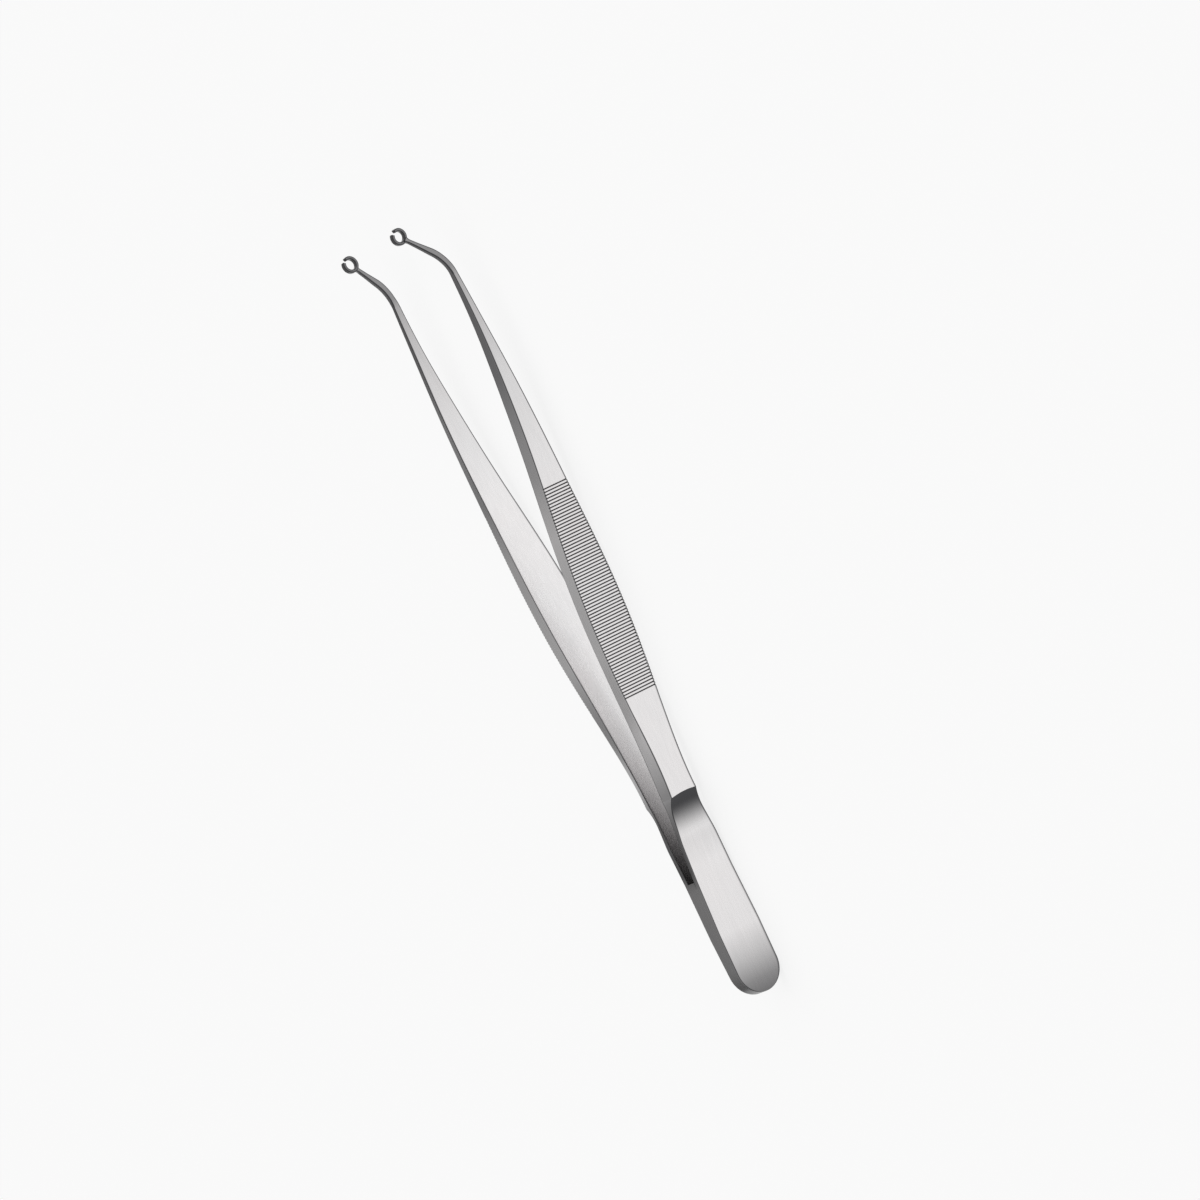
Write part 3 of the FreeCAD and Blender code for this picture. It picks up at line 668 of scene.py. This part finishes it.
@dataclass(frozen=True)
class Shank:
    """The shank: an arc that turns it sideways and inwards, then a straight taper to the ring."""

    rise: float = 40.8
    toe_in: float = 12.8
    bend_radius: float = 9.4
    length: float = 7.3
    first_knot: float = 0.3
    ring_wall_middle: float = 1.45
    thicknesses: tuple[float, ...] = (1.1, 1.05, 1.05, 0.95, 0.8)
    widths: tuple[float, ...] = (1.4, 1.35, 1.35, 1.0, 0.8)
    rounding: float = 0.24
    foot_start: float = 3.7
    foot_thickness: float = 0.12
    foot_width: float = 0.36
    bend_steps: int = 16
    taper_steps: int = 24

    def run_out(self) -> Array:
        """The direction in which the shank points at the ring."""
        inwards = -math.tan(math.radians(self.toe_in))
        return unit(np.array([inwards, 1.0, math.tan(math.radians(self.rise))]))

    def path(self, start: Array, run_in: Array) -> tuple[Array, Array, Array, Array]:
        """The centre line: start plus radius times sine and one less cosine of the turn, then straight.

        Args:
            start: Where the bend starts.
            run_in: The neck's direction there.

        Returns:
            The points, the direction and the way at each, counted in knots, and the ring's centre.
        """
        run_out = self.run_out()
        sideways = unit(run_out - run_in * (run_out @ run_in))
        full = math.acos(run_out @ run_in)
        turn = np.linspace(0.0, full, self.bend_steps + 1)[1:, None]
        arc = start + self.bend_radius * (run_in * np.sin(turn) + sideways * (1.0 - np.cos(turn)))
        arc_runs = run_in * np.cos(turn) + sideways * np.sin(turn)
        reach = self.length - self.ring_wall_middle
        far = np.linspace(0.0, reach, self.taper_steps + 1)[1:, None]
        taper = arc[-1] + run_out * far
        taper_runs = np.repeat(run_out[None], self.taper_steps, axis=0)
        bend_length = self.bend_radius * full
        ways = np.concatenate([turn[:, 0] * self.bend_radius, bend_length + far[:, 0]])
        bend_knots = [0.0, self.first_knot * bend_length, bend_length]
        knots = [*bend_knots, bend_length + reach / 2, bend_length + reach]
        share = np.interp(ways, knots, np.arange(len(knots)))
        points = np.concatenate([arc, taper])
        runs = np.concatenate([arc_runs, taper_runs])
        return points, runs, share, arc[-1] + run_out * self.length

    def sections(self, share: Array, flare: float, edge_radius: float) -> tuple[Array, Array]:
        """The shank's sections: a taper between the knots, and a foot that spreads on to the ring.

        The neck's flare and edges change to the shank's own over the first knot.

        Args:
            share: The way to each section, counted in knots.
            flare: The flare of the neck's sides at the bend.
            edge_radius: The rounding of the neck's edges.

        Returns:
            Corners as stations by 4 by 2, and roundings as stations by 4.
        """
        knots = np.arange(len(self.thicknesses))
        foot = smooth_step((share - self.foot_start) / (knots[-1] - self.foot_start))
        half_thick = (np.interp(share, knots, self.thicknesses) + self.foot_thickness * foot) / 2
        half_wide = (np.interp(share, knots, self.widths) + self.foot_width * foot) / 2
        corners = box_corners(half_thick, half_wide)
        lean = np.interp(share, [0.0, 1.0], [flare, 0.0])
        corners[:, :, 1] -= corners[:, :, 0] * CORNER_SIGNS[:, 1] * lean[:, None]
        rounding = np.interp(share, [0.0, 1.0], [edge_radius, self.rounding])
        return corners, np.repeat(rounding[:, None], len(Face), axis=1)


@dataclass(frozen=True)
class EyeRing:
    """The open ring at the tip: a rounded bar on a circle, with a slot and rounded ends."""

    outer_radius: float = 1.795
    hole_radius: float = 1.1
    thickness: float = 1.0
    slot_width: float = 0.7
    rounding: float = 0.2
    end_length: float = 0.14
    end_stop: float = 0.999
    steps: int = 72
    crowding: float = 1.35

    def shell(self, centre: Array, closing: float, rise: float, tone: float) -> Shell:
        """The ring's surface.

        Its middle line is the circle from one side of the slot round to the other, with its sections
        crowded by a power towards the ends. Near each end the section shrinks as a circle's height
        does, which rounds the end.

        Args:
            centre: The ring's centre.
            closing: The angle about Z, in degrees, by which the ring is turned from facing X.
            rise: The angle from +Y towards +Z at which the slot lies, in degrees.
            tone: How much painted shade its steel gets.

        Returns:
            The closed shell.
        """
        section = Section()
        turn = math.radians(closing)
        facing = np.array([math.cos(turn), -math.sin(turn), 0.0])
        forward = np.array([math.sin(turn), math.cos(turn), 0.0])
        middle_radius = (self.outer_radius + self.hole_radius) / 2
        slot_angle = math.asin(self.slot_width / 2 / middle_radius)
        reach = (math.pi - slot_angle) * middle_radius
        even = np.linspace(-1.0, 1.0, self.steps + 1)
        away = np.sign(even) * (1.0 - (1.0 - np.abs(even)) ** self.crowding) * reach * self.end_stop
        shrink_run = np.clip((reach - np.abs(away)) / self.end_length, 0.0, 1.0)
        shrink = np.sqrt(1.0 - (1.0 - shrink_run) ** 2)
        angle = math.radians(rise) + math.pi + away / middle_radius
        radial = np.cos(angle)[:, None] * forward + np.sin(angle)[:, None] * UPRIGHT
        half_wide = (self.outer_radius - self.hole_radius) / 2
        corners = box_corners(self.thickness / 2 * shrink, half_wide * shrink)
        radii = np.repeat(self.rounding * shrink[:, None], len(Face), axis=1)
        sweep = Sweep(centre + radial * middle_radius, np.repeat(facing[None], len(angle), axis=0), -radial)
        grid = sweep.surface(section.points(corners, radii))
        # the ring gets painted shade, and painted shade along its edges
        return Shell(grid, {Mark.SHADE: tone, Mark.EDGE: section.edge_shade_marks()})


@dataclass
class Arm:
    """One sprung arm, in one piece from the tail to its ring."""

    side: Side
    plan: ArmPlan = field(default_factory=ArmPlan)
    form: ArmForm = field(default_factory=ArmForm)
    tail: TailOutline = field(default_factory=TailOutline)
    grooves: Grooves = field(default_factory=Grooves)
    shank: Shank = field(default_factory=Shank)
    ring: EyeRing = field(default_factory=EyeRing)
    tones: Tones = field(default_factory=Tones)
    place: Place = field(default_factory=Place.of_spacer)
    edge_radius: float = 0.24
    edge_limit: float = 0.45
    tail_joint_radius: float = 0.01
    shoulder_bow: float = 0.3
    bow_reach: float = 2.5
    closing: float = 3.9661
    flex_reach: float = 7.0
    scoop_reach: float = 5.0
    groove_margin: float = 0.2
    leaf_steps: int = 14
    scoop_steps: int = 18
    handle_steps: int = 20
    neck_steps: int = 40

    def stations(self) -> Array:
        """Places along the arm: close together round the tail's end, in the scoop and at the grooves.

        Returns:
            The places, in order. One lies just before the shoulder and one at it.
        """
        plan = self.plan
        grooves = self.grooves.stations(plan)
        scoop_start = plan.shoulder_at - self.scoop_reach
        return np.concatenate([
            self.tail.stations(plan.slot_end),
            np.linspace(plan.slot_end, scoop_start, self.leaf_steps)[1:],
            np.linspace(scoop_start, plan.shoulder_at - BRINK, self.scoop_steps)[1:],
            np.linspace(plan.shoulder_at, grooves[0] - self.groove_margin, self.handle_steps),
            grooves,
            np.linspace(grooves[-1] + self.groove_margin, plan.bend_at, self.neck_steps),
        ])

    def corners(self, along: Array) -> tuple[Array, Array]:
        """The blade's sections across the arm.

        The side is the mean half width plus the flare times the distance inwards of the middle. The
        tail's outline gives way to the arm's form where its taper ends, at the flexure.

        Args:
            along: Places along the arm.

        Returns:
            The middles' X, and corners as stations by 4 by 2.
        """
        inner = self.plan.inner(along)
        smooth_outer = self.plan.outer(along)
        outer = smooth_outer - self.grooves.depths(along, self.plan)
        middle = (inner + smooth_outer) / 2
        past = along > self.tail.taper_end
        form_place = np.clip(along, self.form.places[0], None)
        mean = np.where(past, self.form.half_width(form_place), self.tail.half_width(along))
        flare = np.where(past, self.form.flare(form_place), 0.0)
        inner_half = mean + flare * (middle - inner)
        outer_half = mean - flare * (outer - middle)
        thick = np.stack([inner, inner, outer, outer], axis=1) - middle[:, None]
        wide = np.stack([inner_half, inner_half, outer_half, outer_half], axis=1) * CORNER_SIGNS[:, 1]
        return middle, np.stack([thick, wide], axis=-1)

    def bow(self, along: Array, height: Array) -> Array:
        """How far the shoulder's edge bows towards the tips, because the handle's face is crowned.

        The bow is greatest at mid width and falls off with the square of the height, and along the
        arm as a bell curve about the shoulder.

        Args:
            along: Places along the arm.
            height: The height of each point over half the outer face's width.

        Returns:
            The shift of each point along the arm.
        """
        near = np.exp(-((along - self.plan.shoulder_at) / self.bow_reach) ** 2)
        return self.shoulder_bow * near[:, None] * np.clip(1.0 - height ** 2, 0.0, 1.0)

    def radii(self, along: Array, corners: Array) -> Array:
        """How far each edge's rounding reaches: at most a share of half the width of its side.

        Where the inner face lies against the wedge, its edges are next to sharp.

        Args:
            along: Places along the arm.
            corners: The sections' corners.

        Returns:
            Stations by 4.
        """
        free = np.minimum(self.edge_radius, np.abs(corners[:, :, 1]) * self.edge_limit)
        joined = (along < self.plan.slot_end)[:, None] & np.array([True, True, False, False])
        return np.where(joined, self.tail_joint_radius, free)

    def run_in(self) -> Array:
        """The neck's direction where the shank starts: half way between those of its two faces."""
        slopes = [self.plan.inner_arcs()[1].end_slope(), self.plan.outer_arc().end_slope()]
        return unit(unit(np.array([[slope, 1.0, 0.0] for slope in slopes])).sum(axis=0))

    def marks(self, section: Section, along: Array, share: Array) -> dict[Mark, Array]:
        """The marks of the arm's long surface, which set its painted shade.

        The painted shade of the blade's end gives way to the shank's over the first knot.

        Args:
            section: The form of the sections.
            along: Places of the blade's sections.
            share: The way to each of the shank's sections, counted in knots.

        Returns:
            Each mark, stations by columns.
        """
        shares = section.side_shares()
        blade_shade = self.tones.blade(along, self.plan.shoulder_at, shares)
        shank_shade = blade_shade[-1] + (self.tones.shank - blade_shade[-1]) * np.clip(share, 0.0, 1.0)[:, None]
        depths = self.grooves.depths(along, self.plan) / self.grooves.depth
        # painted shade along the edges: whole on the lower roundings, at mid rounding on the upper ones
        blade_edge_shade = np.tile(section.edge_shade_marks((True, False, False, True)), (len(along), 1))
        shank_edge_shade = np.tile(section.edge_shade_marks(), (len(share), 1))
        return {
            Mark.SHADE: np.concatenate([blade_shade, shank_shade]),
            Mark.GROOVE: np.concatenate([depths[:, None] * shares[Face.OUTER], np.zeros(shank_shade.shape)]),
            Mark.EDGE: np.concatenate([blade_edge_shade, shank_edge_shade]),
        }

    def shells(self) -> list[Shell]:
        """The arm's surfaces.

        Returns:
            The long one from the tail to the ring, and the ring's.
        """
        section = Section()
        along = self.stations()
        middle, corners = self.corners(along)
        blade = Sweep.straight(self.place.point(middle, along, np.zeros(len(along))))
        points, runs, share, ring_centre = self.shank.path(blade.middles[-1], self.run_in())
        end_flare = self.form.flare(along[-1:])[0]
        shank_corners, shank_radii = self.shank.sections(share, end_flare, self.edge_radius)
        across = unit(ACROSS - runs * runs[:, :1])
        sweep = Sweep(
            np.concatenate([blade.middles, points]),
            np.concatenate([blade.across, across]),
            np.concatenate([blade.upright, np.cross(across, runs)]),
        )
        all_radii = np.concatenate([self.radii(along, corners), shank_radii])
        outline = section.points(np.concatenate([corners, shank_corners]), all_radii)
        grid = sweep.surface(outline)
        heights = outline[:len(along), :, 1] / corners[:, Face.OUTER, None, 1]
        grid[:len(along), :, 1] += self.bow(along, heights) * section.side_shares()[Face.OUTER]
        ring = self.ring.shell(ring_centre, self.closing, self.shank.rise, self.tones.ring)
        return [Shell(grid, self.marks(section, along, share)), ring]

    def build(self, material: bpy.types.Material) -> bpy.types.Object:
        """Makes the arm's piece and hides the imported heel and blade.

        Args:
            material: The finish.

        Returns:
            The piece.
        """
        piece = mesh_piece(f"{self.side.word}_arm", self.shells(), self.side, material)
        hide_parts(f"{self.side.word}_arm_heel", f"{self.side.word}_arm_blade")
        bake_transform(piece)
        return piece


@dataclass
class TailSpacer:
    """The wedge between the arms' tails, ground flush with them."""

    plan: ArmPlan = field(default_factory=ArmPlan)
    tail: TailOutline = field(default_factory=TailOutline)
    tones: Tones = field(default_factory=Tones)
    place: Place = field(default_factory=Place.of_spacer)
    edge_radius: float = 0.01

    def build(self, material: bpy.types.Material) -> bpy.types.Object:
        """Makes the wedge's piece: a section from one inner face to the other, carried along the tail.

        Its last two sections are a hair apart, so that only the face in the slot gets the slot's painted
        shade.

        Args:
            material: The finish.

        Returns:
            The piece.
        """
        slot_end = self.plan.slot_end
        along = np.append(self.tail.stations(slot_end - 2 * BRINK), slot_end - BRINK)
        corners = box_corners(self.plan.inner(along), self.tail.half_width(along))
        radii = np.full((len(along), len(Face)), self.edge_radius)
        middles = self.place.point(np.zeros(len(along)), along, np.zeros(len(along)))
        grid = Sweep.straight(middles).surface(Section().points(corners, radii))
        # painted shade: the narrow sides' along the tail, and the slot's on the face in the slot
        tone = np.interp(along, self.tones.side_places, self.tones.side)[:, None]
        tone[-1] = self.tones.slot_end
        piece = mesh_piece("tail_wedge", [Shell(grid, {Mark.SHADE: tone})], Side.RIGHT, material)
        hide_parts("tail_spacer")
        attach(piece, "tail")
        return piece


@dataclass(frozen=True)
class SatinSteel:
    """Satin stainless steel: grained along the arm, with shade painted darker into its grooves, hollows and
    edges.
    """

    steel: Colour = (0.88, 0.88, 0.885)
    tint: Colour = (0.88, 0.85, 0.848)
    # dark mixed in by the grain's streaks and by the painted shade
    dark: Colour = (0.06, 0.06, 0.063)
    roughness: float = 0.28
    roughness_spread: float = 0.05
    grain_scale: float = 2600.0
    grain_squeeze: float = 0.04
    grain_depth: float = 0.02
    grain_bump: float = 0.12
    cloud_scale: float = 55.0
    noise_detail: float = 3.0
    streak: float = 0.05
    streak_span: tuple[float, float] = (0.3, 0.7)
    # how deep a groove gets full painted shade, and how much painted shade the edges get
    groove_shade_full: float = 0.8
    edge_shade_share: float = 0.9

    def material(self) -> bpy.types.Material:
        """Makes the finish.

        Returns:
            A material whose colour, roughness and bump come from nodes on Object coordinates, and whose
            colour takes the painted shade of the piece's own marks.
        """
        finish = bpy.data.materials.new("satin_steel_finish")
        finish.use_nodes = True
        nodes = finish.node_tree.nodes
        links = finish.node_tree.links
        shader = nodes["Principled BSDF"]
        shader.inputs["Metallic"].default_value = 1.0

        coordinate = nodes.new("ShaderNodeTexCoord")
        stretch = nodes.new("ShaderNodeMapping")
        stretch.inputs["Scale"].default_value = (1.0, self.grain_squeeze, 1.0)
        links.new(coordinate.outputs["Object"], stretch.inputs["Vector"])
        grain = self.noise(nodes, self.grain_scale)
        links.new(stretch.outputs["Vector"], grain.inputs["Vector"])
        cloud = self.noise(nodes, self.cloud_scale)
        links.new(coordinate.outputs["Object"], cloud.inputs["Vector"])

        colour = self.blend(finish, cloud.outputs["Fac"], self.steel, self.tint)
        # The grain's streaks, then the painted shade of hollows and sides, of the grooves and of the edges,
        # each mix in the dark.
        streaks_and_painted_shade = [
            self.span(finish, grain.outputs["Fac"], self.streak_span, (0.0, self.streak)),
            self.mark(nodes, Mark.SHADE),
            self.span(finish, self.mark(nodes, Mark.GROOVE), (0.0, self.groove_shade_full), (0.0, 1.0)),
            self.span(finish, self.mark(nodes, Mark.EDGE), (0.0, 1.0), (0.0, self.edge_shade_share)),
        ]
        for share in streaks_and_painted_shade:
            colour = self.blend(finish, share, colour, self.dark)
        links.new(colour, shader.inputs["Base Color"])

        rough_span = (self.roughness - self.roughness_spread, self.roughness + self.roughness_spread)
        rough = self.span(finish, grain.outputs["Fac"], (0.0, 1.0), rough_span)
        links.new(rough, shader.inputs["Roughness"])
        bump = nodes.new("ShaderNodeBump")
        bump.inputs["Strength"].default_value = self.grain_bump
        bump.inputs["Distance"].default_value = self.grain_depth * MM
        links.new(grain.outputs["Fac"], bump.inputs["Height"])
        links.new(bump.outputs["Normal"], shader.inputs["Normal"])
        return finish

    def noise(self, nodes: bpy.types.Nodes, scale: float) -> bpy.types.Node:
        """Adds a noise pattern.

        Args:
            nodes: The material's nodes.
            scale: The pattern's scale, per metre.

        Returns:
            The node.
        """
        noise = nodes.new("ShaderNodeTexNoise")
        noise.inputs["Scale"].default_value = scale
        noise.inputs["Detail"].default_value = self.noise_detail
        return noise

    @staticmethod
    def mark(nodes: bpy.types.Nodes, mark: Mark) -> bpy.types.NodeSocket:
        """Adds a reader of one of the piece's marks.

        Args:
            nodes: The material's nodes.
            mark: The mark.

        Returns:
            Its value.
        """
        reader = nodes.new("ShaderNodeAttribute")
        reader.attribute_name = mark.value
        return reader.outputs["Fac"]

    @staticmethod
    def span(finish: bpy.types.Material, value: bpy.types.NodeSocket, taken: tuple[float, float],
             given: tuple[float, float]) -> bpy.types.NodeSocket:
        """Adds a node that carries one span of values on to another, held at its ends.

        Args:
            finish: The material.
            value: What is carried over.
            taken: The span that it comes from.
            given: The span that it goes to.

        Returns:
            The new value.
        """
        span = finish.node_tree.nodes.new("ShaderNodeMapRange")
        span.inputs["From Min"].default_value, span.inputs["From Max"].default_value = taken
        span.inputs["To Min"].default_value, span.inputs["To Max"].default_value = given
        finish.node_tree.links.new(value, span.inputs["Value"])
        return span.outputs["Result"]

    @staticmethod
    def blend(finish: bpy.types.Material, share: bpy.types.NodeSocket, below: Colour | bpy.types.NodeSocket,
              over: Colour) -> bpy.types.NodeSocket:
        """Adds a node that lays a colour over another by a share.

        Args:
            finish: The material.
            share: How much of the upper colour shows.
            below: The lower colour, plain or from another node.
            over: The upper colour.

        Returns:
            The new colour.
        """
        mix = finish.node_tree.nodes.new("ShaderNodeMix")
        mix.data_type = "RGBA"
        mix.inputs["B"].default_value = (*over, 1.0)
        finish.node_tree.links.new(share, mix.inputs["Factor"])
        if isinstance(below, bpy.types.NodeSocket):
            finish.node_tree.links.new(below, mix.inputs["A"])
        else:
            mix.inputs["A"].default_value = (*below, 1.0)
        return mix.outputs["Result"]


@dataclass(frozen=True)
class WhitePaper:
    """Matt white paper, which the camera and reflections see nearer to pure white than it is lit."""

    white: float = 0.95
    camera_share: float = 0.8
    gloss_share: float = 0.93

    def material(self) -> bpy.types.Material:
        """Makes the finish.

        Returns:
            A material that mixes matt white with a white glow. The glow has the camera's share for a
            ray from the camera, the gloss's for one sent on by steel or glass, and none otherwise.
        """
        paper = bpy.data.materials.new("paper")
        paper.use_nodes = True
        nodes = paper.node_tree.nodes
        links = paper.node_tree.links
        nodes.clear()
        output = nodes.new("ShaderNodeOutputMaterial")
        matt = nodes.new("ShaderNodeBsdfDiffuse")
        matt.inputs["Color"].default_value = (self.white, self.white, self.white, 1.0)
        glow = nodes.new("ShaderNodeEmission")
        path = nodes.new("ShaderNodeLightPath")
        seen = self.sum(paper, "MULTIPLY", path.outputs["Is Camera Ray"], self.camera_share)
        mirrored = self.sum(paper, "MAXIMUM", path.outputs["Is Glossy Ray"],
                            path.outputs["Is Transmission Ray"])
        share = self.sum(paper, "MULTIPLY_ADD", mirrored, self.gloss_share, seen)
        mix = nodes.new("ShaderNodeMixShader")
        links.new(share, mix.inputs["Fac"])
        links.new(matt.outputs["BSDF"], mix.inputs[1])
        links.new(glow.outputs["Emission"], mix.inputs[2])
        links.new(mix.outputs["Shader"], output.inputs["Surface"])
        return paper

    @staticmethod
    def sum(finish: bpy.types.Material, operation: str,
            *terms: float | bpy.types.NodeSocket) -> bpy.types.NodeSocket:
        """Adds a node that works a value out.

        Args:
            finish: The material.
            operation: What is done with the terms.
            terms: Plain numbers, and values of other nodes.

        Returns:
            The value.
        """
        node = finish.node_tree.nodes.new("ShaderNodeMath")
        node.operation = operation
        for socket, term in zip(node.inputs, terms):
            if isinstance(term, bpy.types.NodeSocket):
                finish.node_tree.links.new(term, socket)
            else:
                socket.default_value = term
        return node.outputs["Value"]


@dataclass(frozen=True)
class Lamp:
    """A square soft lamp that faces the forceps: its place and side in metres, its power in watts."""

    name: str
    place: tuple[float, float, float]
    size: float
    power: float

    def build(self) -> None:
        """Makes the lamp."""
        data = bpy.data.lights.new(self.name, "AREA")
        data.size = self.size
        data.energy = self.power
        lamp = linked(self.name, data)
        spot = Vector(self.place)
        lamp.matrix_world = Matrix.Translation(spot) @ spot.to_track_quat("Z", "Y").to_matrix().to_4x4()


@dataclass(frozen=True)
class Studio:
    """A white floor, soft lamps and the camera at the drawing's viewing angle.

    The camera stands over the right arm's broad side, raised by an angle from the level, and is
    rolled so that the forceps lean to the left. Both angles are in degrees.
    """

    raised: float = 35.0
    lean: float = 25.9
    target: tuple[float, float, float] = (2.58, 0.34, 1.71)
    view_width: float = 241.7
    lens: float = 250.0
    sensor: float = 36.0
    clip_end: float = 20.0
    floor_size: float = 6.0
    sky: tuple[tuple[float, float], ...] = ((0.0, 0.45), (0.07, 0.33), (0.6, 0.33), (0.8, 0.5), (1.0, 0.8))
    lamps: tuple[Lamp, ...] = (
        Lamp("key_lamp", (0.3, 2.2, 1.9), 4.0, 35.0),
        Lamp("fill_lamp", (-0.25, -2.1, 1.9), 4.0, 30.0),
    )

    def camera(self) -> None:
        """Makes the camera: back along the view's line until the frame is as wide as the drawing.

        Its up is the arms' length turned by the lean away from what is up in the level view.
        """
        data = bpy.data.cameras.new("camera")
        data.lens = self.lens
        data.sensor_width = self.sensor
        data.clip_end = self.clip_end
        camera = linked("camera", data)
        raised = math.radians(self.raised)
        lean = math.radians(self.lean)
        back = Vector((math.cos(raised), 0.0, math.sin(raised)))
        level_up = Vector((-math.sin(raised), 0.0, math.cos(raised)))
        up = Vector((0.0, math.cos(lean), 0.0)) - level_up * math.sin(lean)
        right = up.cross(back)
        distance = self.lens / self.sensor * self.view_width * MM
        turn = Matrix((right, up, back)).transposed().to_4x4()
        camera.matrix_world = Matrix.Translation(Vector(self.target) * MM + back * distance) @ turn
        bpy.context.scene.camera = camera

    def floor(self) -> None:
        """Makes the floor: one large square sheet of white paper, at the height where the forceps rest."""
        half = self.floor_size / 2
        mesh = bpy.data.meshes.new("floor")
        corners = [(-half, -half, 0.0), (half, -half, 0.0), (half, half, 0.0), (-half, half, 0.0)]
        mesh.from_pydata(corners, [], [(0, 1, 2, 3)])
        mesh.materials.append(WhitePaper().material())
        floor = linked("floor", mesh)

    def world(self) -> None:
        """Sets the sky: greys by the height of the direction, from the horizon's to the one overhead."""
        world = bpy.data.worlds.new("studio")
        bpy.context.scene.world = world
        world.use_nodes = True
        nodes = world.node_tree.nodes
        links = world.node_tree.links
        background = nodes["Background"]
        coordinate = nodes.new("ShaderNodeTexCoord")
        split = nodes.new("ShaderNodeSeparateXYZ")
        ramp = nodes.new("ShaderNodeValToRGB")
        links.new(coordinate.outputs["Generated"], split.inputs["Vector"])
        links.new(split.outputs["Z"], ramp.inputs["Fac"])
        links.new(ramp.outputs["Color"], background.inputs["Color"])
        points = ramp.color_ramp.elements
        for height, _ in self.sky[1:-1]:
            points.new(height)
        for point, (_, tone) in zip(points, self.sky):
            point.color = (tone, tone, tone, 1.0)

    def build(self) -> None:
        """Makes everything round the forceps."""
        self.camera()
        self.floor()
        for lamp in self.lamps:
            lamp.build()
        self.world()
        bpy.context.scene.view_settings.view_transform = "Standard"


def main() -> None:
    """Builds the studio and each piece."""
    logging.basicConfig(level=logging.INFO, format="%(name)s: %(message)s")
    Studio().build()
    LOG.info("studio is ready")
    steel = SatinSteel().material()
    for side in Side:
        piece = Arm(side).build(steel)
        LOG.info("%s has %d faces", piece.name, len(piece.data.polygons))
    wedge = TailSpacer().build(steel)
    LOG.info("%s has %d faces", wedge.name, len(wedge.data.polygons))


if __name__ == "__main__":
    main()
